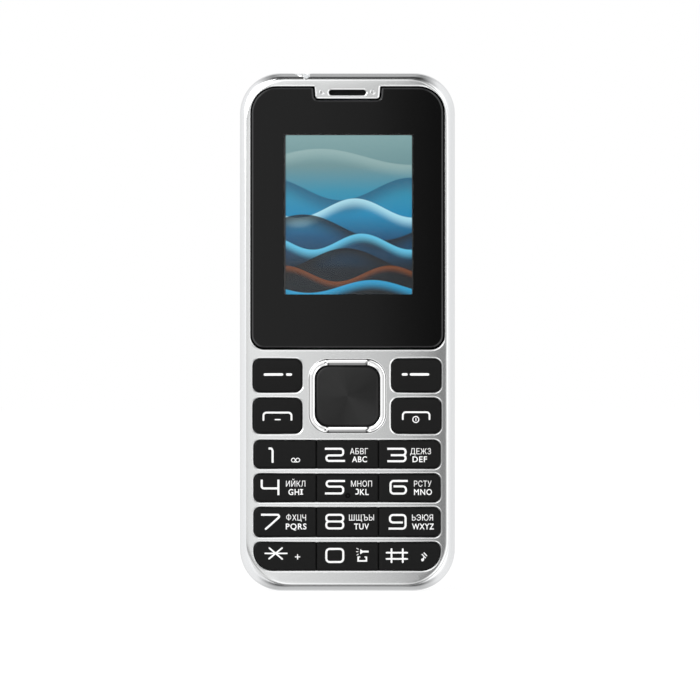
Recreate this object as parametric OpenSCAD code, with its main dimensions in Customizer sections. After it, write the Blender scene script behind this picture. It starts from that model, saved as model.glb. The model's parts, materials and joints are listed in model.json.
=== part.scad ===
// Bar-type feature phone, standing on its bottom end with the keys toward -Y.
// Every piece is drawn lying down (x right, y up the phone, z toward the keys) and then stood up.

/* [Body] */
// width over the side frame
body_width = 47.5; // [46.5:0.1:50]
// height from bottom end to top end
body_height = 114.4; // [113:0.1:118]
// depth from the camera ring to the crest of the four-way ring
body_depth = 13.8; // [13.4:0.1:15]
// outer corner radius at the top end
top_corner = 9; // [8:0.1:10]
// outer corner radius at the bottom end
bottom_corner = 9.3; // [8:0.1:10.5]
// rounding of the frame's front edge
frame_round = 2.2; // [1.8:0.1:2.4]
// rounding of the cover's back edge
cover_round = 3.2; // [2.5:0.1:3.3]
// visible frame width at the sides
seam_side = 1.45; // [1.3:0.05:1.6]
// visible frame width at the ends
seam_end = 1.2; // [1.1:0.05:1.4]

/* [Front] */
// wall of the front plate
plate_wall = 1.2; // [1:0.1:1.3]
// edge rounding of the front plate
plate_round = 0.75; // [0.5:0.05:0.9]
// thickness of the display window
window_thickness = 1.19; // [1:0.01:1.25]
// edge rounding of the display window
window_round = 0.6; // [0.3:0.05:0.8]
// height of the display window
window_height = 58; // [57:0.1:59]
// width of the tab at the earpiece
tab_width = 14.8; // [14:0.1:16]
// drop of the tab into the window
tab_drop = 2.8; // [2.6:0.1:3]
// length of the earpiece slot
slot_length = 8.1; // [7:0.1:8.5]
// width of the earpiece slot
slot_width = 1.17; // [1:0.01:1.3]
// width of the seen part of the display
screen_width = 28.5; // [28:0.1:29]
// height of the seen part of the display
screen_height = 35.3; // [34.8:0.1:35.6]

/* [Keys] */
// height that the number keys stand above the plate
key_proud = 0.55; // [0.4:0.05:0.65]
// height that the select key stands above the plate
select_proud = 0.3; // [0.2:0.05:0.5]
// press of every key
key_travel = 0.4; // [0.25:0.05:0.45]
// edge rounding of the keys
key_round = 0.28; // [0.2:0.02:0.32]
// number key height
row_height = 6.25; // [6.1:0.05:6.3]
// plate bar between two key rows
row_bar = 1.15; // [1.1:0.05:1.25]
// plate below the lowest key row
low_margin = 3.4; // [3.2:0.05:3.6]
// extra height of the second row from the bottom
tall_row = 0.3; // [0:0.05:0.4]
// plate between the number keys and the call keys
call_gap = 1.4; // [1.3:0.05:1.5]
// plate between the soft keys and the display window
window_gap = 2.05; // [1.9:0.05:2.2]
// plate beside the soft keys
soft_margin = 1.48; // [1.3:0.02:1.6]
// plate between the soft keys and the four-way ring
ring_margin = 1.47; // [1.3:0.01:1.6]
// half width of the middle column
column_split = 6.84; // [6.6:0.02:7]
// soft key width
soft_width = 11; // [10.6:0.1:11.1]
// soft key height
soft_height = 7.5; // [7.3:0.05:7.6]
// call key height
call_height = 7.95; // [7.7:0.05:8]
// width over the four-way ring
ring_size = 16.7; // [16.4:0.1:16.8]
// select key width
select_width = 14.46; // [14.2:0.02:14.5]
// select key height
select_height = 13.7; // [13.5:0.02:13.8]

/* [Inside] */
// battery width
battery_width = 34; // [32:0.1:34.4]
// battery height
battery_height = 53; // [50:0.5:53.5]
// body below the battery
battery_below = 15.9; // [15:0.1:16.5]
// body above the battery
battery_above = 45.5; // [44:0.1:47]
// body beside the battery
battery_beside = 6.75; // [6.5:0.05:7.5]
// wall of the back cover
cover_wall = 1; // [0.9:0.05:1.1]
// board thickness
board_thickness = 0.8; // [0.6:0.05:0.9]
// bore radius of the audio jack
jack_radius = 1.78; // [1.76:0.01:1.8]
// radius of the torch lens
torch_radius = 1.95; // [1.6:0.05:2]

/* [Clearances] */
// between pieces that stay put
fit_gap = 0.06; // [0.05:0.01:0.08]
// around each key
key_gap = 0.13; // [0.1:0.01:0.16]
// around the four-way ring
ring_gap = 0.2; // [0.18:0.01:0.24]

/* [Hidden] */
$fn = 64;

// shared lengths are kept to a thousandth of a millimetre
function snap(v) = round(v * 1000) / 1000;

half = body_width / 2;
front = body_depth / 2;
// depth levels, front to back
plate_face = front - 0.7;
plate_under = plate_face - plate_wall;
seat = plate_face - 1;
ledge_under = seat - 0.9;
mask_top = seat + 0.15;
window_low = mask_top + 0.01;
frame_front = plate_face - 0.9;
frame_back = -front + 3.6;
skirt_end = plate_face - 4.1;
board_front = plate_face - 3.7;
board_back = board_front - board_thickness;
on_board = board_front + 0.05;
under_board = board_back - 0.05;
cover_seam = frame_back - 0.05;
cover_back = -front + 0.2;
cover_inner = cover_back + cover_wall;
chassis_back = cover_inner + 0.1;
pocket_floor = chassis_back + 0.7;
battery_back = cover_inner + 0.25;
floor_under = -front + 6.2;
floor_top = floor_under + 0.6;
chassis_front = skirt_end - 0.1;

// plan of the front plate
plate_half = half - seam_side;
plate_top = body_height - seam_end;
plate_box = [-plate_half, seam_end, plate_half, plate_top];
plate_low_corner = bottom_corner + 0.4;
plate_corners = [plate_low_corner, plate_low_corner, top_corner, top_corner];
// plan of the window
window_half = plate_half - 0.88;
window_top = plate_top - 1.8;
window_base = window_top - window_height;
window_box = [-window_half, window_base, window_half, window_top];
window_corners = [3, 3, 5.8, 5.8];
screen_mid = snap(window_top - 0.488 * window_height);
screen_shift = 0.25;
slot_mid = window_top - 1.3;
// the keys share the plate's height under the window, and its width
pad = (window_base - seam_end) / (low_margin + 4 * row_height + tall_row + 4 * row_bar + call_gap
  + call_height + soft_height + window_gap);
across = plate_half / (soft_margin + soft_width + ring_margin + ring_size / 2);
key_half = snap(plate_half - 1.73 * across);
soft_out = snap(plate_half - soft_margin * across);
soft_in = snap(soft_out - soft_width * across);
split_at = snap(column_split * across);
row_step = snap(pad * (row_height + row_bar));
row_base = snap(seam_end + pad * low_margin);
row_tall = snap(pad * row_height);
row_extra = snap(pad * tall_row);
row_low = [row_base, row_base + row_step, row_base + 2 * row_step + row_extra,
  row_base + 3 * row_step + row_extra];
row_high = [row_low[0] + row_tall, row_low[1] + row_tall + row_extra,
  row_low[2] + row_tall, row_low[3] + row_tall];
call_low = snap(row_high[3] + pad * call_gap);
call_high = snap(call_low + pad * call_height);
soft_low = snap(call_high + pad * row_bar);
soft_high = snap(soft_low + pad * soft_height);
nav_mid = snap((call_low + soft_high) / 2);
key_split = 0.13;
flange_lip = key_gap + 0.25;
flange_top = plate_under - 0.05;
flange_low = flange_top - 0.5;
mat_top = flange_low - key_travel - 0.06;
peg_tip = board_front + 0.38 + key_travel;
peg_radius = 1.25;
// domes and their wells shrink with a tighter keypad
well = snap(min(1, pad, across));
// corners of the outer keys, and the wider ones low down
key_corner = 1.45;
low_key_corner = 4.2;
// four-way ring
ring_wide = snap(across * ring_size / 2);
ring_tall = snap(pad * ring_size / 2);
ring_flange_top = plate_under - 0.5;
ring_flange_low = ring_flange_top - 0.4;
ring_box = [-ring_wide, nav_mid - ring_tall, ring_wide, nav_mid + ring_tall];
ring_corner = 4.3;
foot_radius = 0.22;
rocker_top = ring_flange_low - foot_radius - 0.03;
rocker_low = rocker_top - 0.4;
nav_floor = rocker_low - foot_radius - 0.03;
rocker_tall = ring_tall - 0.75;
// end features
jack_x = half - top_corner - 4.25;
jack_z = frame_back + 2.9;
jack_barrel = 2.4;
torch_x = -half + top_corner + 4.75;
torch_z = frame_front - 2.4;
usb_z = under_board - 1.33;
mic_x = half - bottom_corner - 3.95;
mic_z = under_board - 2.3;
// the rear shares the body's height and width with the battery
along = body_height / (battery_below + battery_height + battery_above);
broad = half / (battery_width / 2 + battery_beside);
battery_half = snap(broad * battery_width / 2);
battery_low = snap(along * battery_below);
battery_high = snap(battery_low + along * battery_height);
bay_gap = 0.25;
bay_half = battery_half + bay_gap;
pocket_half = bay_half + 0.35;
low_pocket_half = half - bottom_corner + 0.05;
camera_y = snap(body_height - 13 * along);
speaker_y = snap(battery_high + 13.1 * along);
shell_inset = 2.7;
screw_x = snap((bay_half + half - shell_inset) / 2);
screw_rows = [snap(window_base + 0.148 * window_height), snap(window_top - 0.197 * window_height)];
key_black = [0.13, 0.13, 0.13];
silver = [0.78, 0.79, 0.8];
chrome = [0.86, 0.87, 0.88];
steel = [0.66, 0.67, 0.68];
board_green = [0.08, 0.3, 0.2];
dark_plastic = [0.16, 0.16, 0.17];

module stand() {
  rotate([90, 0, 0]) children();
}

// a full circle, or only its quarter where the circle would reach past the far edge
module round_corner(r, quarter, whole) {
  if (whole) circle(r);
  else intersection() {
    circle(r);
    translate([quarter[0] * r, quarter[1] * r]) square(r);
  }
}

// a rectangle [left, low, right, high] with corner radii [low left, low right, high right, high left]
module flat_shape(b, r) {
  room = min(b[2] - b[0], b[3] - b[1]) / 2;
  union() {
    polygon([
      [b[0] + r[0], b[1]], [b[2] - r[1], b[1]], [b[2], b[1] + r[1]], [b[2], b[3] - r[2]],
      [b[2] - r[2], b[3]], [b[0] + r[3], b[3]], [b[0], b[3] - r[3]], [b[0], b[1] + r[0]]]);
    translate([b[0] + r[0], b[1] + r[0]]) round_corner(r[0], [-1, -1], r[0] < room);
    translate([b[2] - r[1], b[1] + r[1]]) round_corner(r[1], [0, -1], r[1] < room);
    translate([b[2] - r[2], b[3] - r[2]]) round_corner(r[2], [0, 0], r[2] < room);
    translate([b[0] + r[3], b[3] - r[3]]) round_corner(r[3], [-1, 0], r[3] < room);
  }
}

function grown(b, g) = [b[0] - g, b[1] - g, b[2] + g, b[3] + g];
function grown_corners(r, g) = [for (k = r) k + g];
function same(k) = [k, k, k, k];

module slab(b, r, z0, z1) {
  translate([0, 0, z0]) linear_extrude(z1 - z0) flat_shape(b, r);
}

module block(b, z0, z1) {
  translate([b[0], b[1], z0]) cube([b[2] - b[0], b[3] - b[1], z1 - z0]);
}

module post(x, y, r, z0, z1) {
  translate([x, y, z0]) cylinder(r = r, h = z1 - z0);
}

// a round bar along y
module bar_up(x, z, r, y0, y1) {
  translate([x, y0, z]) rotate([-90, 0, 0]) cylinder(r = r, h = y1 - y0);
}

// a round bar along x
module bar_across(y, z, r, x0, x1) {
  translate([x0, y, z]) rotate([0, 90, 0]) cylinder(r = r, h = x1 - x0);
}

module rim_profile(f, h, at, side) {
  union() {
    translate([at, 0]) square([f, h - f]);
    intersection() {
      translate([at + (side ? f : 0), h - f]) circle(f);
      translate([at, h - f]) square([f, f]);
    }
  }
}

module rim_side(at, length, turn, f, h) {
  translate(at) rotate([0, 0, turn]) rotate([90, 0, 90]) linear_extrude(length) rim_profile(f, h, 0, true);
}

module rim_corner(at, turn, r, f, h) {
  translate(at) rotate([0, 0, turn]) rotate_extrude(angle = 90) rim_profile(f, h, r - f, false);
}

// a slab whose front edge is rounded by f
module rounded_slab(b, r, z0, z1, f) {
  h = z1 - z0;
  translate([0, 0, z0]) union() {
    linear_extrude(h) flat_shape(grown(b, -f), grown_corners(r, -f));
    rim_side([b[0] + r[0], b[1], 0], b[2] - r[1] - b[0] - r[0], 0, f, h);
    rim_side([b[2], b[1] + r[1], 0], b[3] - r[2] - b[1] - r[1], 90, f, h);
    rim_side([b[2] - r[2], b[3], 0], b[2] - r[2] - b[0] - r[3], 180, f, h);
    rim_side([b[0], b[3] - r[3], 0], b[3] - r[3] - b[1] - r[0], 270, f, h);
    rim_corner([b[0] + r[0], b[1] + r[0], 0], 180, r[0], f, h);
    rim_corner([b[2] - r[1], b[1] + r[1], 0], 270, r[1], f, h);
    rim_corner([b[2] - r[2], b[3] - r[2], 0], 0, r[2], f, h);
    rim_corner([b[0] + r[3], b[3] - r[3], 0], 90, r[3], f, h);
  }
}

body_box = [-half, 0, half, body_height];
body_corners = [bottom_corner, bottom_corner, top_corner, top_corner];

module usb_mouth(g, y0, y1) {
  translate([0, y1, 0]) rotate([90, 0, 0]) linear_extrude(y1 - y0)
    flat_shape([-3.9 - g, usb_z - 1.35 - g, 3.9 + g, usb_z + 1.35 + g], same(0.9 + g));
}

module side_frame() {
  color(chrome) stand() difference() {
    rounded_slab(body_box, body_corners, frame_back, frame_front, frame_round);
    slab(grown(plate_box, fit_gap), grown_corners(plate_corners, fit_gap), frame_back - 1, frame_front + 1);
    usb_mouth(0.2, -1, 3);
    bar_up(mic_x, mic_z, 0.5, -1, 3);
    bar_up(jack_x, jack_z, jack_barrel + fit_gap, body_height - 3, body_height + 1);
    bar_up(torch_x, torch_z, torch_radius + fit_gap, body_height - 3, body_height + 1);
  }
}

module tab_shape(g) {
  drop = window_top - tab_drop;
  flat_shape([-tab_width / 2 - g, drop - g, tab_width / 2 + g, window_top + 3], same(0.8 + g));
}

module row_shape(i, g) {
  low = (i == 0 ? low_key_corner : key_corner) + g;
  high = key_corner + g;
  flat_shape(grown([-key_half, row_low[i], key_half, row_high[i]], g), [low, low, high, high]);
}

module dimple(x) {
  translate([x, slot_mid, plate_face + 0.45]) sphere(0.8);
}

module front_plate() {
  color(silver) stand() difference() {
    union() {
      difference() {
        rounded_slab(plate_box, plate_corners, skirt_end, plate_face, plate_round);
        slab(grown(plate_box, -1), grown_corners(plate_corners, -1), skirt_end - 1, ledge_under);
        slab([-plate_half + 1.1, seam_end + 1.1, plate_half - 1.1, window_base - 0.8],
          [plate_low_corner - 1.7, plate_low_corner - 1.7, 0.5, 0.5], ledge_under - 0.5, plate_under);
      }
      for (y = screw_rows) for (s = [-1, 1]) post(s * screw_x, y, 1.5, on_board, ledge_under + 0.1);
    }
    translate([0, 0, seat]) linear_extrude(4) difference() {
      flat_shape(grown(window_box, 0.08), grown_corners(window_corners, 0.08));
      tab_shape(0);
    }
    lcd_space();
    for (i = [0:3]) translate([0, 0, plate_under - 1]) linear_extrude(4) row_shape(i, key_gap);
    for (s = [-1, 1]) {
      slab(grown(soft_box(s, soft_low, soft_high), key_gap), same(1.6 + key_gap), plate_under - 1, front + 1);
      slab(grown(soft_box(s, call_low, call_high), key_gap), same(1.6 + key_gap), plate_under - 1, front + 1);
      dimple(s * 5.6);
    }
    slab(grown(ring_box, ring_gap), same(ring_corner + ring_gap), plate_under - 1, front + 1);
    slab([-slot_length / 2, slot_mid - slot_width / 2, slot_length / 2, slot_mid + slot_width / 2],
      same(slot_width / 2 - 0.01), ledge_under - 1, front + 1);
    slab([-4.8, slot_mid - 1.2, 4.8, slot_mid + 1.2], same(1), ledge_under - 1, ledge_under + 0.6);
    bar_up(torch_x, torch_z, torch_radius + fit_gap, window_top + 0.1, body_height + 1);
    for (y = screw_rows) for (s = [-1, 1]) post(s * screw_x, y, 0.74, on_board - 1, ledge_under + 0.4);
  }
}

module lcd_space() {
  block(grown(panel_box, 0.25), ledge_under - 1, seat + 0.5);
}

panel_half = 0.775 * window_half;
panel_box = [screen_shift - panel_half, screen_mid - 0.4207 * window_height,
  screen_shift + panel_half, screen_mid + 0.338 * window_height];
light_box = grown(panel_box, 0.2);

function soft_box(s, low, high) = s < 0 ? [-soft_out, low, -soft_in, high] : [soft_in, low, soft_out, high];

module display_window() {
  color([0.75, 0.8, 0.82, 0.4]) stand() difference() {
    rounded_slab(window_box, window_corners, window_low, window_low + window_thickness, window_round);
    translate([0, 0, seat]) linear_extrude(4) tab_shape(0.1);
  }
}

module window_mask() {
  color([0.02, 0.02, 0.02]) stand() difference() {
    slab(grown(window_box, -0.2), grown_corners(window_corners, -0.2), seat + 0.01, mask_top);
    translate([0, 0, seat - 1]) linear_extrude(4) tab_shape(0.3);
    block([screen_shift - screen_width / 2, screen_mid - screen_height / 2,
      screen_shift + screen_width / 2, screen_mid + screen_height / 2], seat - 1, seat + 1);
  }
}

module lcd_panel() {
  color([0.2, 0.3, 0.36]) stand() block(panel_box, board_front + 1.45, seat - 0.04);
}

module lcd_backlight() {
  color([0.92, 0.92, 0.9]) stand() block(light_box, on_board, board_front + 1.4);
}

module lcd_flex() {
  color([0.75, 0.45, 0.1]) stand()
    block([-7, panel_box[1] - 3.4, 7, light_box[1] - 0.05], on_board, on_board + 0.15);
}

module earpiece_mesh() {
  color([0.1, 0.1, 0.1]) stand()
    slab([-4.7, slot_mid - 1.1, 4.7, slot_mid + 1.1], same(0.9), ledge_under + 0.05, ledge_under + 0.55);
}

module earpiece_receiver() {
  color([0.55, 0.55, 0.56]) stand()
    slab([-5, light_box[3] + 0.6, 5, window_top - 0.2], same(1.2), on_board, ledge_under - 0.1);
}

module key_peg(x, y) {
  post(x, y, peg_radius, peg_tip, flange_low + 0.05);
}

module soft_key(s, low, high) {
  b = soft_box(s, low, high);
  rounded_slab(b, same(1.6), flange_low, plate_face + key_proud, key_round);
  slab(grown(b, flange_lip), same(1.6 + flange_lip), flange_low, flange_top);
  key_peg((b[0] + b[2]) / 2, (low + high) / 2);
}

module soft_key_left() {
  color(key_black) stand() soft_key(-1, soft_low, soft_high);
}

module soft_key_right() {
  color(key_black) stand() soft_key(1, soft_low, soft_high);
}

module call_key() {
  color(key_black) stand() soft_key(-1, call_low, call_high);
}

module end_key() {
  color(key_black) stand() soft_key(1, call_low, call_high);
}

// columns are -1, 0 and 1; rows count from the bottom
module number_key(column, row) {
  left = column < 0 ? -key_half : column > 0 ? split_at + key_split : -split_at + key_split;
  right = column > 0 ? key_half : column < 0 ? -split_at - key_split : split_at - key_split;
  outer = row == 0 ? low_key_corner : key_corner;
  inner = key_round + 0.06;
  b = [left, row_low[row], right, row_high[row]];
  corners = [column < 0 ? outer : inner, column > 0 ? outer : inner,
    column > 0 ? key_corner : inner, column < 0 ? key_corner : inner];
  lip = [left - (column < 0 ? flange_lip : 0), row_low[row] - flange_lip,
    right + (column > 0 ? flange_lip : 0), row_high[row] + flange_lip];
  lip_corners = [column < 0 ? outer + 1 : inner, column > 0 ? outer + 1 : inner, inner, inner];
  key_peg((left + right) / 2, (row_low[row] + row_high[row]) / 2);
  rounded_slab(b, corners, flange_low, plate_face + key_proud, key_round);
  slab(lip, lip_corners, flange_low, flange_top);
}

module key_1() { color(key_black) stand() number_key(-1, 3); }
module key_2() { color(key_black) stand() number_key(0, 3); }
module key_3() { color(key_black) stand() number_key(1, 3); }
module key_4() { color(key_black) stand() number_key(-1, 2); }
module key_5() { color(key_black) stand() number_key(0, 2); }
module key_6() { color(key_black) stand() number_key(1, 2); }
module key_7() { color(key_black) stand() number_key(-1, 1); }
module key_8() { color(key_black) stand() number_key(0, 1); }
module key_9() { color(key_black) stand() number_key(1, 1); }
module key_star() { color(key_black) stand() number_key(-1, 0); }
module key_0() { color(key_black) stand() number_key(0, 0); }
module key_hash() { color(key_black) stand() number_key(1, 0); }

select_wide = snap(across * select_width / 2);
select_tall = snap(pad * select_height / 2);
select_box = [-select_wide, nav_mid - select_tall, select_wide, nav_mid + select_tall];

module nav_ring() {
  color(chrome) stand() {
    difference() {
      union() {
        rounded_slab(ring_box, same(ring_corner), ring_flange_low, front, 0.5);
        slab(grown(ring_box, ring_gap + 0.25), same(ring_corner + ring_gap + 0.25), ring_flange_low, ring_flange_top);
      }
      slab(grown(select_box, 0.14), same(3.04), ring_flange_low - 1, front + 1);
    }
    for (s = [-1, 1]) translate([s * (ring_wide - 0.6), 0, 0])
      bar_across(nav_mid, ring_flange_low, foot_radius, -0.4, 0.4);
  }
}

module nav_rocker() {
  color([0.3, 0.3, 0.32]) stand() {
    difference() {
      slab([-ring_wide, nav_mid - rocker_tall, ring_wide, nav_mid + rocker_tall], same(3), rocker_low, rocker_top);
      slab([-0.6 * ring_wide, nav_mid - 0.6 * ring_tall, 0.6 * ring_wide, nav_mid + 0.6 * ring_tall],
        same(2), rocker_low - 1, rocker_top + 1);
    }
    for (s = [-1, 1]) translate([0, nav_mid + s * (rocker_tall - 0.5), 0])
      bar_up(0, rocker_low, foot_radius, -0.4, 0.4);
  }
}

module select_key() {
  color(key_black) stand() {
    rounded_slab(select_box, same(2.9), flange_low + 0.2, plate_face + select_proud, key_round);
    post(0, nav_mid, 1.7, peg_tip, flange_low + 0.3);
  }
}

key_spots = [for (r = [0:3]) for (c = [-1:1])
  [c * (split_at + key_half + key_split) / 2, (row_low[r] + row_high[r]) / 2]];
soft_spots = [for (s = [-1, 1]) for (y = [call_low + call_high, soft_low + soft_high])
  [s * (soft_in + soft_out) / 2, y / 2]];
nav_spots = [[0, nav_mid], [-ring_wide / 2, nav_mid], [ring_wide / 2, nav_mid],
  [0, nav_mid - ring_tall / 2], [0, nav_mid + ring_tall / 2]];

module keypad_mat() {
  color([0.75, 0.77, 0.78]) stand() difference() {
    slab([-key_half - 0.2, row_base - 1.1, key_half + 0.2, soft_high + 0.8], [7.5, 7.5, 1, 1], on_board, mat_top);
    slab(grown(ring_box, ring_gap + 0.5), same(ring_corner + 0.5), nav_floor, mat_top + 1);
    for (p = key_spots) post(p[0], p[1], 2.2 * well, on_board - 1, mat_top + 1);
    for (p = soft_spots) post(p[0], p[1], 2.2 * well, on_board - 1, mat_top + 1);
    for (p = nav_spots) post(p[0], p[1], 1.85 * well, on_board - 1, mat_top + 1);
  }
}

module dome(p, r) {
  translate([p[0], p[1], board_front + 0.02]) cylinder(r1 = r, r2 = r * 0.45, h = 0.24);
}

module key_domes() {
  color(steel) stand() {
    for (p = key_spots) dome(p, 2 * well);
    for (p = soft_spots) dome(p, 2 * well);
    for (p = nav_spots) dome(p, 1.65 * well);
  }
}

module main_board() {
  color(board_green) stand() difference() {
    slab([-plate_half + 1.6, 3.4, plate_half - 1.6, body_height - 3.6], [8, 8, 7, 7], board_back, board_front);
    block([jack_x - 3.2, body_height - 16.2, jack_x + 3.2, body_height], board_back - 1, board_front + 1);
    for (y = screw_rows) for (s = [-1, 1]) post(s * screw_x, y, 0.9, board_back - 1, board_front + 1);
  }
}

module can(b) {
  slab(b, same(0.5), floor_top + 0.1, under_board);
}

module shield_cans() {
  color(steel) stand() {
    can([1, battery_low + 1.1, battery_half, battery_low + 24.1 * along]);
    can([-battery_half, battery_low + 1.1, -1, battery_low + 8.1 * along]);
  }
}

module card_socket(b) {
  difference() {
    slab(b, same(0.4), floor_under + 0.1, under_board);
    block([b[0] + 1, b[1] - 1, b[2] - 1, b[3] - 2], floor_under + 0.7, floor_under + 1.5);
    block([b[0] + 4, b[1] - 1, b[2] - 4, b[1] + 5], floor_under, floor_under + 1);
  }
}

sim_low = battery_low + 28.7 * along;
sim_high = battery_low + 43.5 * along;
sim_boxes = [[-battery_half + 0.4, sim_low, -0.6, sim_high], [0.6, sim_low, battery_half - 0.4, sim_high]];
memory_box = [-battery_half + 1, battery_low + 11.1 * along, -1.6, battery_low + 25.7 * along];

module sim_sockets() {
  color(steel) stand() for (b = sim_boxes) card_socket(b);
}

module memory_socket() {
  color(steel) stand() card_socket(memory_box);
}

module battery_contacts() {
  y0 = battery_high + bay_gap + 0.45;
  color([0.82, 0.68, 0.3]) stand() {
    slab([-5, y0, 5, y0 + 2.2], same(0.4), pocket_floor + 1.6, under_board);
    for (x = [-3.4, 0, 3.4]) block([x - 0.6, battery_high + 0.12, x + 0.6, y0 + 0.2], pocket_floor + 2, floor_under - 1);
  }
}

module usb_socket() {
  color(steel) stand() difference() {
    usb_mouth(-0.1, 1.5, 7);
    translate([0, 6, 0]) rotate([90, 0, 0]) linear_extrude(6)
      flat_shape([-3.5, usb_z - 0.95, 3.5, usb_z + 0.95], same(0.5));
  }
}

module audio_jack() {
  color([0.12, 0.12, 0.12]) stand() difference() {
    union() {
      block([jack_x - 2.9, body_height - 15.9, jack_x + 2.9, body_height - 4.15], jack_z - 2.5, jack_z + 2.5);
      bar_up(jack_x, jack_z, jack_barrel, body_height - 4.5, body_height - 0.15);
    }
    bar_up(jack_x, jack_z, jack_radius, body_height - 14.2, body_height + 1);
  }
}

module microphone() {
  color([0.3, 0.3, 0.3]) stand() difference() {
    bar_up(mic_x, mic_z, 2, 3.5, 5.2);
    bar_up(mic_x, mic_z, 0.5, 3, 4);
  }
}

module loudspeaker() {
  color([0.2, 0.2, 0.21]) stand() {
    post(0, speaker_y, 7.8, pocket_floor + 0.4, pocket_floor + 2.2);
    post(0, speaker_y, 6, pocket_floor + 2.1, pocket_floor + 3.2);
  }
}

module speaker_mesh() {
  color([0.08, 0.08, 0.08]) stand() post(0, speaker_y, 7.4, pocket_floor + 0.05, pocket_floor + 0.35);
}

motor_x = -pocket_half + 1.2;
motor_y = body_height - 10;
motor_z = pocket_floor + 2.05;

module vibration_motor() {
  color(steel) stand() {
    bar_across(motor_y, motor_z, 2, motor_x, motor_x + 7);
    bar_across(motor_y, motor_z, 0.4, motor_x + 6.9, motor_x + 8.2);
  }
}

module motor_weight() {
  color([0.5, 0.5, 0.52]) stand() difference() {
    bar_across(motor_y, motor_z, 1.8, motor_x + 7.6, motor_x + 11);
    bar_across(motor_y, motor_z, 0.44, motor_x + 7, motor_x + 8.4);
    block([motor_x + 7, motor_y + 0.7, motor_x + 12, motor_y + 3], motor_z - 3, motor_z + 3);
  }
}

module camera_module() {
  color([0.1, 0.1, 0.1]) stand() {
    slab([-3.2, camera_y - 3.2, 3.2, camera_y + 3.2], same(0.4), pocket_floor + 1, under_board);
    post(0, camera_y, 2.3, chassis_back + 0.2, pocket_floor + 1.1);
  }
}

module camera_ring() {
  color(chrome) stand() difference() {
    post(0, camera_y, 4.2, -front, chassis_back - 0.05);
    post(0, camera_y, 2.4, -front - 1, chassis_back + 1);
    post(0, camera_y, 3.1, -front - 1, -front + 0.75);
  }
}

module camera_glass() {
  color([0.08, 0.09, 0.12]) stand() post(0, camera_y, 3.04, -front + 0.2, -front + 0.7);
}

module torch_led() {
  color([0.95, 0.9, 0.6]) stand()
    block([torch_x - 1.6, window_top - 2.6, torch_x + 1.6, window_top], on_board, on_board + 1.6);
}

module torch_lens() {
  color([0.9, 0.95, 1, 0.5]) stand() intersection() {
    bar_up(torch_x, torch_z, torch_radius, window_top + 0.14, body_height);
    translate([torch_x, body_height - 5.4, torch_z]) sphere(5);
  }
}

module antenna() {
  color([0.85, 0.7, 0.35]) stand() {
    block([-low_pocket_half + 1, 4.2, -2, battery_low - 2.3], pocket_floor + 0.05, pocket_floor + 0.35);
    block([-5.5, 9, -3.5, 9.3], pocket_floor + 0.3, under_board);
  }
}

module rear_chassis() {
  color(dark_plastic) stand() difference() {
    union() {
      slab(plate_box, plate_corners, frame_back, chassis_front);
      slab(grown(body_box, -shell_inset), grown_corners(body_corners, -shell_inset), chassis_back, frame_back + 0.5);
    }
    slab(grown(plate_box, -1.2), grown_corners(plate_corners, -1.2), floor_top, chassis_front + 1);
    block([-bay_half, battery_low - bay_gap, bay_half, battery_high + bay_gap], chassis_back - 1, floor_under);
    slab([-pocket_half, battery_high + 3.6, pocket_half, body_height - 4.1], [1, 1, 4, 4], pocket_floor, floor_top + 1);
    slab([-low_pocket_half, 3.3, low_pocket_half, battery_low - 1.6], same(1), pocket_floor, floor_top + 1);
    block([-5.3, battery_high, 5.3, battery_high + 4], pocket_floor + 1.4, floor_top + 1);
    for (b = sim_boxes) slab(grown(b, 0.15), same(0.5), floor_under - 1, floor_top + 1);
    slab(grown(memory_box, 0.15), same(0.5), floor_under - 1, floor_top + 1);
    post(0, camera_y, 2.45, chassis_back - 1, pocket_floor + 1);
    post(0, speaker_y, 6.4, chassis_back - 1, pocket_floor + 1);
    usb_mouth(0.1, 0, 4);
    bar_up(mic_x, mic_z, 0.5, 0, 4);
    bar_up(jack_x, jack_z, jack_barrel + fit_gap, body_height - 5, body_height);
    bar_up(torch_x, torch_z, torch_radius + fit_gap, window_top + 0.1, body_height);
    for (y = screw_rows) for (s = [-1, 1]) {
      post(s * screw_x, y, 1.45, chassis_back - 1, floor_under + 0.2);
      post(s * screw_x, y, 0.8, chassis_back - 1, chassis_front + 1);
    }
  }
  color(dark_plastic) stand() for (y = screw_rows) for (s = [-1, 1]) difference() {
    post(s * screw_x, y, 1.6, floor_top - 0.1, under_board);
    post(s * screw_x, y, 0.8, floor_top - 1, under_board + 1);
  }
}

module housing_screws() {
  color(steel) stand() for (y = screw_rows) for (s = [-1, 1]) difference() {
    union() {
      post(s * screw_x, y, 1.3, floor_under - 0.7, floor_under + 0.15);
      post(s * screw_x, y, 0.68, floor_under + 0.1, ledge_under + 0.2);
    }
    block([s * screw_x - 0.8, y - 0.15, s * screw_x + 0.8, y + 0.15], floor_under - 1, floor_under - 0.3);
    block([s * screw_x - 0.15, y - 0.8, s * screw_x + 0.15, y + 0.8], floor_under - 1, floor_under - 0.3);
  }
}

terminal_z = floor_under - 1.9;

module battery() {
  color([0.18, 0.19, 0.21]) stand() difference() {
    slab([-battery_half, battery_low, battery_half, battery_high], same(1.5), battery_back, floor_under - 0.15);
    for (x = [-3.4, 0, 3.4]) block([x - 1.1, battery_high - 0.2, x + 1.1, battery_high + 1], terminal_z - 0.9, terminal_z + 0.9);
  }
}

module battery_terminals() {
  color([0.85, 0.7, 0.35]) stand() for (x = [-3.4, 0, 3.4])
    block([x - 1.05, battery_high - 0.19, x + 1.05, battery_high - 0.02], terminal_z - 0.85, terminal_z + 0.85);
}

module turned() {
  rotate([0, 180, 0]) children();
}

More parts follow.
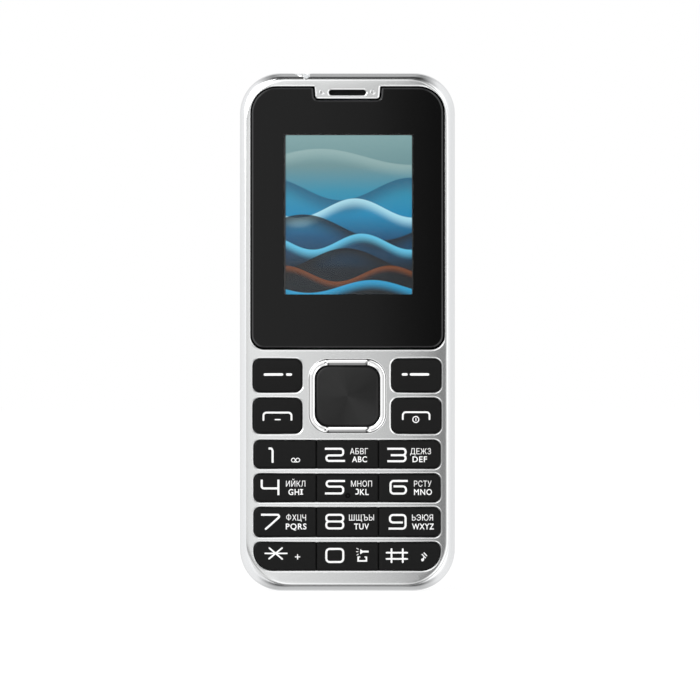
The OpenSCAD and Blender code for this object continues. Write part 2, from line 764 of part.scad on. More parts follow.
module back_cover() {
  color(silver) stand() difference() {
    turned() rounded_slab(body_box, body_corners, -cover_seam, -cover_back, cover_round);
    turned() rounded_slab(grown(body_box, -cover_wall), grown_corners(body_corners, -cover_wall), -cover_seam - 1, -cover_inner, cover_round - cover_wall);
    post(0, camera_y, 4.4, -front - 1, 0);
    for (i = [-2:2]) slab([-5.5, speaker_y + 2.2 * i - 0.55, 5.5, speaker_y + 2.2 * i + 0.55], same(0.54), -front - 1, 0);
    block([-13, -1, -6, 0.7], cover_seam - 0.8, cover_seam + 1);
  }
}

side_frame();
front_plate();
display_window();
window_mask();
lcd_panel();
lcd_backlight();
lcd_flex();
earpiece_mesh();
earpiece_receiver();
soft_key_left();
soft_key_right();
call_key();
end_key();
nav_ring();
nav_rocker();
select_key();
key_1();
key_2();
key_3();
key_4();
key_5();
key_6();
key_7();
key_8();
key_9();
key_star();
key_0();
key_hash();
keypad_mat();
key_domes();
main_board();
shield_cans();
sim_sockets();
memory_socket();
battery_contacts();
usb_socket();
audio_jack();
microphone();
loudspeaker();
speaker_mesh();
vibration_motor();
motor_weight();
camera_module();
camera_ring();
camera_glass();
torch_led();
torch_lens();
antenna();
rear_chassis();
housing_screws();
battery();
battery_terminals();
back_cover();
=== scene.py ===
"""A bar-shaped feature phone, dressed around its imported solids.

Shapes are written flat in millimetres: x to the right, y up from the bottom end, z out of the front.
at() stands them up in the row frame, in metres.
"""
import json
import math

import bmesh
import bpy
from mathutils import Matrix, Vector
from mathutils.geometry import delaunay_2d_cdt


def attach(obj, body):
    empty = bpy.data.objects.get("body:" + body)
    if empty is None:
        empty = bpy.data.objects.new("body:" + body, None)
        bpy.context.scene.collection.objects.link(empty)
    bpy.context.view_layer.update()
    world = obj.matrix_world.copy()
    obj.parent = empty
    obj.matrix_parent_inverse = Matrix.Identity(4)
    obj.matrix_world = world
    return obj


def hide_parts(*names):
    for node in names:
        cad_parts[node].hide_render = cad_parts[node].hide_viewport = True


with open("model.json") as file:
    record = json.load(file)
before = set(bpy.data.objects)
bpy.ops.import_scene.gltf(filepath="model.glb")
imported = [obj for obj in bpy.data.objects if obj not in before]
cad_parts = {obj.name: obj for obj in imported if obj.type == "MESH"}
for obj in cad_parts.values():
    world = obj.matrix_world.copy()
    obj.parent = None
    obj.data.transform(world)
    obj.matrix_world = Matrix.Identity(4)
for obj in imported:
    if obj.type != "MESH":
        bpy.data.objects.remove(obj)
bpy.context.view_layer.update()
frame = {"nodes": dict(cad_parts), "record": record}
nodes = frame["nodes"]

MM = 0.001
PIXEL = 0.2208  # millimetres across one pixel of the photograph
SCALE_PLANE = 4  # height at which that holds
DISTANCE = 1.0  # from the camera to that plane, in metres
BODY = [-23.75, 0, 23.75, 114.4]
BODY_CORNERS = [9.3, 9.3, 9.0, 9.0]
PLATE = [-22.3, 1.2, 22.3, 113.2]
PLATE_CORNERS = [9.7, 9.7, 9.0, 9.0]
SEAM = 0.02  # between the frame and the plate
ROW_TRIM, SOFT_TRIM = 0.01, 0.11  # openings inside the outlines of the key rows and of the four soft keys
KEY_GAP = 0.19  # from an opening to its key
SPLIT_GAP = 0.1  # half the gap between two keys of a row
KEY_TOP = 6.75
PLATE_UNDER = 5.0
ROWS = [(4.6, 10.85), (12.0, 18.55), (19.7, 25.95), (27.1, 33.35)]
KEY_LEFT, KEY_RIGHT = -20.67, 20.49
SPLIT = 6.84  # from the middle to the gap between two keys of a row
TAB_LOW = 108.6  # lower edge of the plate's tab in the window
SLOT_MID = 109.96  # height of the earpiece slot
NAV_Y = 43.05  # height of the four-way ring
WINDOW_BACK = 5.36
SCREEN = [-14.0, 65.45, 14.5, 100.75]  # clear part of the window
SPEAKER_Y = 82
CAMERA = (0, 101.4)
TORCH_X, TORCH_Z = -10, 2.9
TOP_END = BODY[3]
PHOTO_SIZE = 700
PHOTO_MIDDLE = PHOTO_SIZE / 2
PHONE_COLUMN, PHONE_FOOT = 347.45, 591  # the phone's middle line and bottom end in the photograph
PHONE_CENTRE = (0, 0, 0.057)  # in metres
WHITE = (1, 1, 1, 1)


def at(x, y, z):
    """A flat point in millimetres, stood up in the row frame."""
    return Vector((x * MM, -z * MM, y * MM))


def spot(px, py):
    """A pixel of the photograph, in flat millimetres."""
    return ((px - PHONE_COLUMN) * PIXEL, (PHONE_FOOT - py) * PIXEL)


# ---- outlines


def rounded(box, radii, steps=10, runs=1, bow=(0.0, 0.0)):
    """A rectangle [left, low, right, high] with corner radii from low left, counter-clockwise."""
    left, low, right, high = box
    a, b, c, d = radii if hasattr(radii, "__len__") else [radii] * 4
    corners = [(left + a, low + a, a, 180), (right - b, low + b, b, 270),
               (right - c, high - c, c, 0), (left + d, high - d, d, 90)]

    def arc(corner, share):
        x, y, r, start = corner
        turn = math.radians(start + 90 * share)
        return x + r * math.cos(turn), y + r * math.sin(turn)

    points = []
    for i, corner in enumerate(corners):
        points += [arc(corner, k / steps) for k in range(steps + 1)]
        (x0, y0), (x1, y1) = points[-1], arc(corners[(i + 1) % 4], 0)
        points += [(x0 + (x1 - x0) * k / runs, y0 + (y1 - y0) * k / runs) for k in range(1, runs)]
    mid_x, mid_y = (left + right) / 2, (low + high) / 2
    bent = []
    for x, y in points:
        u, v = (x - mid_x) / (right - mid_x), (y - mid_y) / (high - mid_y)
        bent.append((x + bow[0] * u * (1 - v * v), y + bow[1] * v * (1 - u * u)))
    return bent


def grown(box, g):
    return [box[0] - g, box[1] - g, box[2] + g, box[3] + g]


def offset(points, g):
    """A counter-clockwise outline moved outwards by g."""
    out = []
    count = len(points)
    for i, (x, y) in enumerate(points):
        x0, y0 = points[i - 1]
        x1, y1 = points[(i + 1) % count]
        a, b = math.hypot(x - x0, y - y0), math.hypot(x1 - x, y1 - y)
        ax, ay = (y - y0) / a, (x0 - x) / a
        bx, by = (y1 - y) / b, (x - x1) / b
        k = g / max(0.3, 1 + ax * bx + ay * by)
        out.append((x + k * (ax + bx), y + k * (ay + by)))
    return out


def toward(points, g, shares):
    """An outline moved outwards by its own share of g at each point."""
    return [(x + (u - x) * s, y + (v - y) * s) for (x, y), (u, v), s in zip(points, offset(points, g), shares)]


def distance(point, line):
    """From a point to a closed outline."""
    p = Vector(point)
    gaps = []
    for start, end in zip(line, line[1:] + line[:1]):
        start, end = Vector(start), Vector(end)
        run = end - start
        along = min(1.0, max(0.0, (p - start).dot(run) / run.length_squared))
        gaps.append((start + run * along - p).length)
    return min(gaps)


def between(a, b, share):
    return [(p[0] + (q[0] - p[0]) * share, p[1] + (q[1] - p[1]) * share) for p, q in zip(a, b)]


def rounding(width, depth, steps):
    """Steps of a quarter ellipse, from the flat (inset width, drop 0) to the wall (inset 0, drop depth)."""
    turns = [math.pi / 2 * k / steps for k in range(steps + 1)]
    return [(width * (1 - math.sin(t)), depth * (1 - math.cos(t))) for t in turns]


def fillet(points, radius, steps=5, closed=False):
    """A polyline with its corners rounded."""
    count = len(points)
    out = []
    for i, p in enumerate(points):
        if not closed and i in (0, count - 1):
            out.append(p)
            continue
        corner = Vector(p)
        back, ahead = Vector(points[i - 1]) - corner, Vector(points[(i + 1) % count]) - corner
        angle = back.angle(ahead)
        wanted = radius[i] if hasattr(radius, "__len__") else radius
        reach = min(wanted / math.tan(angle / 2), 0.499 * back.length, 0.499 * ahead.length)
        r = reach * math.tan(angle / 2)
        centre = corner + (back.normalized() + ahead.normalized()).normalized() * r / math.sin(angle / 2)
        first = corner + back.normalized() * reach - centre
        last = corner + ahead.normalized() * reach - centre
        swing = first.angle_signed(last)
        for k in range(steps + 1):
            turn = -swing * k / steps
            c, s = math.cos(turn), math.sin(turn)
            out.append((centre.x + first.x * c - first.y * s, centre.y + first.x * s + first.y * c))
    return out


def ribbon(points, width, round_ends=False):
    """The outline of a stroke along an open polyline."""
    left, right = [], []
    for i, p in enumerate(points):
        p = Vector(p)
        sides = []
        if i > 0:
            sides.append((p - Vector(points[i - 1])).normalized())
        if i < len(points) - 1:
            sides.append((Vector(points[i + 1]) - p).normalized())
        normals = [Vector((-d.y, d.x)) for d in sides]
        total = sum(normals, Vector((0, 0)))
        total *= width / 2 / (1 if len(normals) == 1 else max(0.5, 1 + normals[0].dot(normals[1])))
        left.append(tuple(p + total))
        right.append(tuple(p - total))
    if not round_ends:
        return right + left[::-1]

    def dome(centre, start):
        c, s = Vector(centre), Vector(start) - Vector(centre)
        turns = [math.pi * k / 8 for k in range(1, 8)]
        return [tuple(c + Vector((s.x * math.cos(t) - s.y * math.sin(t), s.x * math.sin(t) + s.y * math.cos(t))))
                for t in turns]

    return right + dome(points[-1], right[-1]) + left[::-1] + dome(points[0], left[0])


def crosses(loop, point):
    """How often a line to the right of a point crosses an outline."""
    count = 0
    for (x0, y0), (x1, y1) in zip(loop, loop[1:] + loop[:1]):
        if (y0 > point.y) != (y1 > point.y):
            count += x0 + (point.y - y0) / (y1 - y0) * (x1 - x0) > point.x
    return count


def disc(x, y, r, steps=20):
    turns = [2 * math.pi * k / steps for k in range(steps)]
    return [(x + r * math.cos(t), y + r * math.sin(t)) for t in turns]


# ---- meshes


class Shell:
    """Gathers the faces of one piece, in flat millimetres."""

    def __init__(self):
        self.mesh = bmesh.new()

    def ring(self, points, z):
        """A loop of points at one height, at a height from a function, or at a list of heights."""
        heights = z if hasattr(z, "__len__") else [z(*p) if callable(z) else z for p in points]
        return [self.mesh.verts.new(at(x, y, h)) for (x, y), h in zip(points, heights)]

    def bridge(self, *rings):
        for a, b in zip(rings, rings[1:]):
            for i in range(len(a)):
                self.mesh.faces.new((a[i - 1], a[i], b[i], b[i - 1]))
        return rings[-1]

    def cap(self, ring, front=True):
        self.mesh.faces.new(ring if front else ring[::-1])

    def fill(self, outline, holes, z, front=True, grid=0.0):
        """A face with holes; grid adds inner points so that it can be crowned."""
        loops = [outline, *holes]
        points, edges = [], []
        for loop in loops:
            start = len(points)
            points += [Vector(p) for p in loop]
            edges += [(start + i, start + (i + 1) % len(loop)) for i in range(len(loop))]
        if grid:
            xs, ys = [p[0] for p in outline], [p[1] for p in outline]
            across, along = int((max(xs) - min(xs)) / grid), int((max(ys) - min(ys)) / grid)
            points += [Vector((min(xs) + (i + 0.53) * grid, min(ys) + (j + 0.47) * grid))
                       for i in range(across) for j in range(along)]
        made, _, faces, *_ = delaunay_2d_cdt(points, edges, [], 0, 1e-6)
        used = {}
        for face in faces:
            p, q, r = (made[i] for i in face)
            if sum(crosses(loop, (p + q + r) / 3) for loop in loops) % 2 == 0:
                continue
            if (q - p).cross(r - p) < 0:
                face = face[::-1]
            corners = []
            for i in face if front else face[::-1]:
                if i not in used:
                    x, y = made[i]
                    used[i] = self.mesh.verts.new(at(x, y, z(x, y) if callable(z) else z))
                corners.append(used[i])
            self.mesh.faces.new(corners)

    def turn(self, x, y, z, profile, along="z", steps=48, hollow=False):
        """A turned solid: profile gives (radius, way along the axis); a hollow one runs back to its start."""
        rings = []
        for r, t in profile:
            ring = []
            for k in range(steps if r else 1):
                c, s = r * math.cos(2 * math.pi * k / steps), r * math.sin(2 * math.pi * k / steps)
                ring.append(self.mesh.verts.new(at(x + c, y + s, z + t) if along == "z" else at(x + c, y + t, z - s)))
            rings.append(ring)
        if hollow:
            rings.append(rings[0])
        for a, b in zip(rings, rings[1:]):
            for i in range(max(len(a), len(b))):
                corners = [a[i - 1], a[i], b[i], b[i - 1]] if len(a) == len(b) else (
                    [a[0], b[i], b[i - 1]] if len(a) == 1 else [a[i - 1], a[i], b[0]])
                self.mesh.faces.new(corners)
        for ring, front in ((rings[0], False), (rings[-1], True)):
            if len(ring) > 1 and not hollow:
                self.cap(ring, front)

    def prism(self, outline, z0, z1):
        low, high = self.ring(outline, z0), self.ring(outline, z1)
        self.bridge(low, high)
        self.cap(low, False)
        self.cap(high)

    def upright(self, outline, y0, y1):
        """A prism along y; the outline is in x and z."""
        rings = [[self.mesh.verts.new(at(x, y, z)) for x, z in outline] for y in (y1, y0)]
        self.bridge(*rings)
        self.cap(rings[0], False)
        self.cap(rings[1])

    def inlay(self, polygons, low, high):
        """Overlapping flat shapes joined to one, as thick as a film of paint."""
        points, faces = [], []
        for polygon in polygons:
            faces.append(list(range(len(points), len(points) + len(polygon))))
            points += [Vector(p) for p in polygon]
        made, _, triangles, _, _, owners = delaunay_2d_cdt(points, [], faces, 1, 1e-5)
        self.film(made, [triangle for triangle, owner in zip(triangles, owners) if owner], low, high)

    def film(self, points, triangles, low, high):
        """Flat triangles as thick as a film of paint, walled along their open sides."""
        top = [self.mesh.verts.new(at(p.x, p.y, high)) for p in points]
        base = [self.mesh.verts.new(at(p.x, p.y, low)) for p in points]
        sides = {}
        for triangle in triangles:
            p, q, r = (points[i] for i in triangle)
            t = list(triangle) if (q - p).cross(r - p) > 0 else list(triangle)[::-1]
            self.mesh.faces.new([top[i] for i in t])
            self.mesh.faces.new([base[i] for i in t[::-1]])
            for i in range(3):
                sides[(t[i - 1], t[i])] = True
        for a, b in sides:
            if (b, a) not in sides:
                self.mesh.faces.new((base[a], base[b], top[b], top[a]))
        bmesh.ops.delete(self.mesh, geom=[v for v in self.mesh.verts if not v.link_faces], context="VERTS")

    def made(self, name, closed=False):
        bmesh.ops.remove_doubles(self.mesh, verts=self.mesh.verts, dist=2e-7)
        if closed:
            bmesh.ops.recalc_face_normals(self.mesh, faces=self.mesh.faces)
        mesh = bpy.data.meshes.new(name)
        self.mesh.to_mesh(mesh)
        self.mesh.free()
        thing = bpy.data.objects.new(name, mesh)
        bpy.context.scene.collection.objects.link(thing)
        return thing


def cut(thing, *cutters):
    """Cuts closed shells out of a piece."""
    for i, shell in enumerate(cutters):
        tool = shell.made("cutter_%d" % i, True)
        step = thing.modifiers.new("cut", "BOOLEAN")
        step.operation, step.solver, step.object = "DIFFERENCE", "EXACT", tool
        state = bpy.context.evaluated_depsgraph_get()
        mesh = bpy.data.meshes.new_from_object(thing.evaluated_get(state))
        thing.modifiers.clear()
        thing.data = mesh
        bpy.data.objects.remove(tool)
    return thing


def mount(thing, material, body, stands_for=(), crease=32):
    """Shades a piece, gives it its finish and sets it on its body."""
    mesh = thing.data
    mesh.polygons.foreach_set("use_smooth", [True] * len(mesh.polygons))
    mesh.set_sharp_from_angle(angle=math.radians(crease))
    mesh.materials.clear()
    mesh.materials.append(material)
    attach(thing, body)
    if stands_for:
        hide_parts(*stands_for)
    return thing


# ---- finishes


def linear(colour):
    """An sRGB hex colour as linear values."""
    parts = [int(colour[i:i + 2], 16) / 255 for i in (1, 3, 5)]
    return [c / 12.92 if c <= 0.04045 else ((c + 0.055) / 1.055) ** 2.4 for c in parts] + [1.0]


def add(tree, kind, settings=None, inputs=None):
    """One node with its settings and links."""
    made = tree.nodes.new(kind)
    for key, value in (settings or {}).items():
        setattr(made, key, value)
    for key, value in (inputs or {}).items():
        if isinstance(value, bpy.types.NodeSocket):
            tree.links.new(value, made.inputs[key])
        else:
            made.inputs[key].default_value = value
    return made


def blank(name):
    material = bpy.data.materials.new(name)
    material.use_nodes = True
    return material, material.node_tree, material.node_tree.nodes["Principled BSDF"]


def finish(name, colour, rough, grain=0.3, tone=0.05, sway=0.04, bump=0.05, stretch=(1, 1, 1), **more):
    """A surface whose tone, gloss and relief vary at a grain of so many millimetres."""
    material, tree, shader = blank(name)
    place = add(tree, "ShaderNodeTexCoord").outputs["Object"]
    turned = add(tree, "ShaderNodeMapping", None, {"Vector": place, "Scale": stretch})
    noise = add(tree, "ShaderNodeTexNoise", None,
                {"Vector": turned.outputs[0], "Scale": 1 / (grain * MM), "Detail": 3.0, "Roughness": 0.6})
    base = linear(colour)
    dark = [c * (1 - tone) for c in base[:3]] + [1.0]
    light = [min(1.0, c * (1 + tone)) for c in base[:3]] + [1.0]
    mix = add(tree, "ShaderNodeMix", {"data_type": "RGBA"}, {0: noise.outputs["Fac"], 6: dark, 7: light})
    gloss = add(tree, "ShaderNodeMapRange", None,
                {"Value": noise.outputs["Fac"], 3: max(0.0, rough - sway), 4: rough + sway})
    relief = add(tree, "ShaderNodeBump", None,
                 {"Height": noise.outputs["Fac"], "Strength": bump, "Distance": grain * MM})
    tree.links.new(mix.outputs[2], shader.inputs["Base Color"])
    tree.links.new(gloss.outputs[0], shader.inputs["Roughness"])
    tree.links.new(relief.outputs[0], shader.inputs["Normal"])
    for key, value in more.items():
        shader.inputs[key.replace("_", " ")].default_value = value
    return material


# vacuum-metallised ABS: mirror bright under a thin lacquer, a little orange peel
frame_finish = finish("abs_metallised_lacquer", "#e9eaeb", 0.16, 2.5, 0.01, 0.02, 0.004, Metallic=1.0)
# satin metallic paint: fine flakes scatter the light
plate_finish = finish("abs_satin_silver_paint", "#dcdddd", 0.2, 0.1, 0.02, 0.02, 0.006, Metallic=0.95)
# bright chrome plating
chrome_finish = finish("abs_bright_chrome", "#f4f4f4", 0.06, 3.0, 0.01, 0.02, 0.002, Metallic=1.0)
# soft-touch black lacquer over polycarbonate: matt with a fine sandy grain
key_finish = finish("polycarbonate_matt_black", "#111111", 0.55, 0.09, 0.1, 0.06, 0.05, Specular_IOR_Level=0.13)
# screen-printed white ink, slightly uneven
ink_finish = finish("screen_ink_white", "#f7f7f7", 0.45, 0.15, 0.02, 0.04, 0.02)
# black ink printed behind the window
mask_finish = finish("screen_ink_black", "#030303", 0.8, 0.2, 0.2, 0.05, 0.01, Specular_IOR_Level=0.0)
# satin paint on the moulded cover: softer gloss than the plate
cover_finish = finish("abs_satin_silver_cover", "#c6c7c8", 0.33, 0.14, 0.05, 0.05, 0.03, Metallic=0.85)
# charcoal moulding with a spark-eroded grain
moulded_dark = finish("abs_moulded_charcoal", "#2a2a2c", 0.48, 0.25, 0.12, 0.06, 0.12)
# black glass-filled nylon: fine dull mottling
moulded_black = finish("nylon_moulded_black", "#141414", 0.42, 0.2, 0.15, 0.06, 0.1)
# white diffusing plastic of the backlight and small inner parts
moulded_white = finish("polycarbonate_white", "#e9e8e3", 0.4, 0.3, 0.02, 0.05, 0.03)
# mid-grey moulding under the ring
moulded_grey = finish("abs_moulded_grey", "#55565a", 0.45, 0.25, 0.08, 0.05, 0.08)
# soft black mat: smooth with slow waves
silicone_finish = finish("silicone_moulded_black", "#101112", 0.5, 0.4, 0.1, 0.05, 0.04)
# tinned sheet with the lines of its rolling
steel_finish = finish("steel_stamped_tinned", "#b4b6b9", 0.3, 0.4, 0.06, 0.06, 0.05, (1, 1, 6), Metallic=1.0)
# warm plated contacts
gold_finish = finish("brass_gold_plated", "#d9b25a", 0.24, 0.3, 0.05, 0.05, 0.03, Metallic=1.0)
# amber film of the ribbon
film_finish = finish("polyimide_film", "#b4661c", 0.28, 0.5, 0.08, 0.05, 0.02)
# shrunk film round the battery: a soft sheen with faint wrinkles
wrap_finish = finish("battery_film_grey", "#34373c", 0.32, 0.6, 0.06, 0.05, 0.03)
# dull fibres behind the slots, nearly black
felt_finish = finish("acoustic_felt_black", "#060606", 0.85, 0.06, 0.4, 0.05, 0.4)
# blackened wire: a faint glint on each strand
wire_finish = finish("woven_wire_black", "#1a1a1b", 0.45, 0.1, 0.1, 0.05, 0.05, Metallic=0.6)
# yellow phosphor of the torch's diode
led_finish = finish("led_phosphor", "#e8d67c", 0.4, 0.2, 0.06, 0.05, 0.05)
# unlit border of the panel
glass_black = finish("display_glass_dark", "#050606", 0.4, 1.0, 0.1, 0.02, 0.0, Specular_IOR_Level=0.1)
# green solder mask over laminate, uneven where tracks run below
board_finish = finish("laminate_solder_mask", "#1c5a3c", 0.32, 0.9, 0.18, 0.06, 0.1)


def clear(name, colour, rough, ior):
    """A clear moulding; faint flow in it keeps the gloss from being perfect."""
    return finish(name, colour, rough, 4.0, 0.005, rough / 2, 0.001, Transmission_Weight=1.0, IOR=ior)


# clear part of the window, weak in gloss so that the picture stays deep
window_finish = clear("acrylic_polished_clear", "#fafafa", 0.02, 1.36)
# polished acrylic printed black from behind: deep black under a clean gloss
printed_finish = finish("acrylic_back_printed", "#040404", 0.03, 2.0, 0.1, 0.01, 0.001, Specular_IOR_Level=0.21)
# its edge, where the print stops short: dark, with the full gloss of bare acrylic
edge_finish = finish("acrylic_polished_edge", "#1b1b1c", 0.06, 2.0, 0.1, 0.02, 0.002, Specular_IOR_Level=0.6)
# milky light guide over the torch: bright, with a soft gloss
torch_finish = finish("polycarbonate_light_guide", "#eef1f3", 0.12, 1.5, 0.02, 0.04, 0.004,
                      Transmission_Weight=0.25, IOR=1.58)
# tinted cover glass of the camera
camera_finish = clear("camera_lens_coated", "#9aa3b5", 0.02, 1.52)
# a coated lens far in: dark, with a violet cast
eye_finish = finish("glass_coated_lens", "#0b0a16", 0.05, 1.0, 0.2, 0.02, 0.0, Coat_Weight=1.0)


def spun_finish_painted_highlight():
    """Black lacquer over fine turned rings: the gloss stretches across the rings as on a disc, and two lighter fans
    painted into its colour add a painted highlight.
    """
    material, tree, shader = blank("polycarbonate_spun_black_painted_highlight")
    place = add(tree, "ShaderNodeTexCoord").outputs["Object"]
    centred = add(tree, "ShaderNodeMapping", None, {"Vector": place, "Location": (0, 0, -NAV_Y * MM)})
    apart = add(tree, "ShaderNodeSeparateXYZ", None, {0: centred.outputs[0]})
    angle = add(tree, "ShaderNodeMath", {"operation": "ARCTAN2"}, {0: apart.outputs["Z"], 1: apart.outputs["X"]})
    pitch = 0.3 * MM  # of the rings, coarser than the real ones so that they show
    rings = add(tree, "ShaderNodeTexWave", {"wave_type": "RINGS", "rings_direction": "Y"},
                {"Vector": centred.outputs[0], "Scale": 1 / (pitch * 20) * math.pi, "Detail": 0.0})
    # painted highlight: two opposite fans of lighter colour, upper left and lower right, with finer rays in them,
    # standing in for the gloss of the turned rings
    twice = add(tree, "ShaderNodeMath", {"operation": "MULTIPLY_ADD"}, {0: angle.outputs[0], 1: 2.0, 2: -4.75})
    highlight_lobes = add(tree, "ShaderNodeMath", {"operation": "COSINE"}, {0: twice.outputs[0]})
    rays = add(tree, "ShaderNodeTexNoise", {"noise_dimensions": "1D"},
               {"W": angle.outputs[0], "Scale": 2.2, "Detail": 3.0})
    both = add(tree, "ShaderNodeMath", {"operation": "ADD"}, {0: highlight_lobes.outputs[0], 1: rays.outputs["Fac"]})
    highlight_fan = add(tree, "ShaderNodeMapRange", None, {"Value": both.outputs[0], 1: -0.2, 2: 1.6})
    # the painted highlight: the black turns lighter inside the fans
    painted_highlight = add(tree, "ShaderNodeMix", {"data_type": "RGBA"},
               {0: highlight_fan.outputs[0], 6: linear("#191919"), 7: linear("#272727")})
    relief = add(tree, "ShaderNodeBump", None,
                 {"Height": rings.outputs["Fac"], "Strength": 0.05, "Distance": 0.02 * MM})
    tangent = add(tree, "ShaderNodeTangent", {"direction_type": "RADIAL", "axis": "Y"})
    tree.links.new(painted_highlight.outputs[2], shader.inputs["Base Color"])
    tree.links.new(relief.outputs[0], shader.inputs["Normal"])
    tree.links.new(tangent.outputs[0], shader.inputs["Tangent"])
    shader.inputs["Roughness"].default_value = 0.36
    shader.inputs["Anisotropic"].default_value = 0.7
    shader.inputs["Specular IOR Level"].default_value = 0.2
    return material


def ramp(tree, value, stops):
    """A colour at each stop along a value, and their mixtures between."""
    made = add(tree, "ShaderNodeValToRGB", None, {0: value})
    band = made.color_ramp
    while len(band.elements) < len(stops):
        band.elements.new(0.5)
    for element, (place, colour) in zip(band.elements, stops):
        element.position, element.color = place, colour
    return made.outputs[0]


def picture_finish():
    """A lit panel with a plain wallpaper of crossing waves."""
    material, tree, shader = blank("display_panel_lit")
    place = add(tree, "ShaderNodeTexCoord").outputs["Object"]
    apart = add(tree, "ShaderNodeSeparateXYZ", None, {0: place})
    left, right = -13.5, 14.47  # of the picture
    u = add(tree, "ShaderNodeMapRange", None, {"Value": apart.outputs["X"], 1: left * MM, 2: right * MM}).outputs[0]
    _, low, _, high = SCREEN
    v = add(tree, "ShaderNodeMapRange", None, {"Value": apart.outputs["Z"], 1: low * MM, 2: high * MM}).outputs[0]
    stops = [(0.0, "#020d14"), (0.16, "#03141f"), (0.36, "#045079"), (0.5, "#0486b4"),
             (0.64, "#2a8fae"), (0.8, "#6a9296"), (1.0, "#80a6a8")]
    colour = ramp(tree, v, [(place, linear(tone)) for place, tone in stops])
    # each wave: middle height, swing, turns across, start, thickness, colour, strength
    waves = [(0.86, 0.05, 0.7, 0.4, 0.10, "#a9c6c4", 0.5), (0.66, 0.07, 0.9, 2.3, 0.13, "#0d5a7c", 0.85),
             (0.54, 0.06, 1.1, 4.1, 0.08, "#b8ecfa", 0.85), (0.42, 0.08, 0.8, 0.9, 0.12, "#03121c", 0.92),
             (0.33, 0.05, 1.3, 3.0, 0.07, "#66cdf0", 0.9), (0.22, 0.07, 0.9, 5.2, 0.11, "#000203", 0.95),
             (0.13, 0.05, 1.2, 1.7, 0.05, "#9a5426", 0.55), (0.05, 0.04, 1.0, 3.6, 0.07, "#2aa6d8", 0.9)]
    for middle, swing, turns, start, thick, tone, strength in waves:
        phase = add(tree, "ShaderNodeMath", {"operation": "MULTIPLY_ADD"}, {0: u, 1: 2 * math.pi * turns, 2: start})
        sine = add(tree, "ShaderNodeMath", {"operation": "SINE"}, {0: phase.outputs[0]})
        line = add(tree, "ShaderNodeMath", {"operation": "MULTIPLY_ADD"}, {0: sine.outputs[0], 1: swing, 2: middle})
        below = add(tree, "ShaderNodeMath", {"operation": "SUBTRACT"}, {0: line.outputs[0], 1: v})
        fade = add(tree, "ShaderNodeMapRange", {"interpolation_type": "SMOOTHSTEP"},
                   {"Value": below.outputs[0], 1: 0.0, 2: thick, 3: strength, 4: 0.0})
        over = add(tree, "ShaderNodeMath", {"operation": "GREATER_THAN"}, {0: below.outputs[0], 1: 0.0})
        share = add(tree, "ShaderNodeMath", {"operation": "MULTIPLY"}, {0: fade.outputs[0], 1: over.outputs[0]})
        colour = add(tree, "ShaderNodeMix", {"data_type": "RGBA"},
                     {0: share.outputs[0], 6: colour, 7: linear(tone)}).outputs[2]
    tree.links.new(colour, shader.inputs["Emission Color"])
    shader.inputs["Emission Strength"].default_value = 1.0
    shader.inputs["Base Color"].default_value = linear("#020202")
    shader.inputs["Roughness"].default_value = 0.5
    shader.inputs["Specular IOR Level"].default_value = 0.0
    return material


# ---- the frame round the edge

body_line = rounded(BODY, BODY_CORNERS, 16, 6)
seam_line = rounded(grown(PLATE, SEAM), [r + SEAM for r in PLATE_CORNERS], 16, 6)
EDGE = 2.2  # radius of the frame's roll towards the seam
ROLL_WIDTH = 1.43  # how far that roll comes in
FRAME_LOW, SHOULDER = -3.3, 3.08  # back of the frame, and the height where its roll begins
shell = Shell()
path = [shell.ring(between(body_line, seam_line, 0.12), FRAME_LOW)]
path += [shell.ring(between(body_line, seam_line, 0.03), -3.26), shell.ring(body_line, -3.1)]
for k in range(21):
    share = 1 - math.cos(math.pi / 2 * k / 20)
    rise = math.sqrt(EDGE * EDGE - (EDGE - ROLL_WIDTH * share) ** 2)
    path.append(shell.ring(between(body_line, seam_line, share), SHOULDER + rise))
frame_inside = between(body_line, seam_line, 1.2)
path += [shell.ring(seam_line, 4.6), shell.ring(frame_inside, 4.4), shell.ring(frame_inside, FRAME_LOW)]
shell.bridge(*path, path[0])
side_frame = shell.made("side_frame_rim")
usb_line = rounded([-4.1, -1.23, 4.1, 1.87], 1.1, 8)
usb_cut, mic_cut, jack_cut = Shell(), Shell(), Shell()
usb_cut.upright(usb_line, -1, 3)
mic_cut.turn(10.5, 0, -0.65, [(0.7, -1), (0.7, 0), (0.5, 0.2), (0.5, 3)], "y", 24)
jack_cut.turn(10.5, TOP_END, -0.4, [(2.46, -3), (2.46, -0.25), (2.71, 0), (2.71, 1)], "y", 48)


def torch_mouth():
    """The torch's bore, flared so that it scallops the front edge."""
    shell = Shell()
    shell.turn(TORCH_X, TOP_END, TORCH_Z, [(2.06, -3), (2.06, -0.7), (2.2, 0), (2.2, 1)], "y", 56)
    return shell


def torch_notch(gap=0.0, back=2.6, front=7.5, high=115.5):
    """A slot through the front edge into the bore, for the tongue of the light guide."""
    shell = Shell()
    box = [-9.92 + gap, 112.78 + gap, -8.28 - gap, high]
    shell.prism(rounded(box, [0.8 - gap, 0.8 - gap, 0.05, 0.05], 8), back, front)
    return shell


cut(side_frame, usb_cut, mic_cut, jack_cut, torch_mouth(), torch_notch())
mount(side_frame, frame_finish, "housing", ["side_frame"])

# ---- the front plate with its openings


def face(x, y):
    """The plate's face: a faint arch from side to side that drops faster at the edges."""
    out = abs(x) / PLATE[2]
    return 6.2 - 0.22 * out ** 2 - 0.22 * out ** 6


def bevel(*parts, steps=4):
    """Insets and drops of an edge, from the wall inwards; each part gives its width and its slope at both ends."""
    path = [(0.0, 0.0)]
    for width, outer, inner in parts:
        steep, flat = math.radians(outer), math.radians(inner)
        radius = width / (math.sin(steep) - math.sin(flat))
        x, z = path[-1]
        for k in range(1, steps + 1):
            t = steep + (flat - steep) * k / steps
            path.append((x + radius * (math.sin(steep) - math.sin(t)), z + radius * (math.cos(t) - math.cos(steep))))
    return [(x, path[-1][1] - z) for x, z in path]


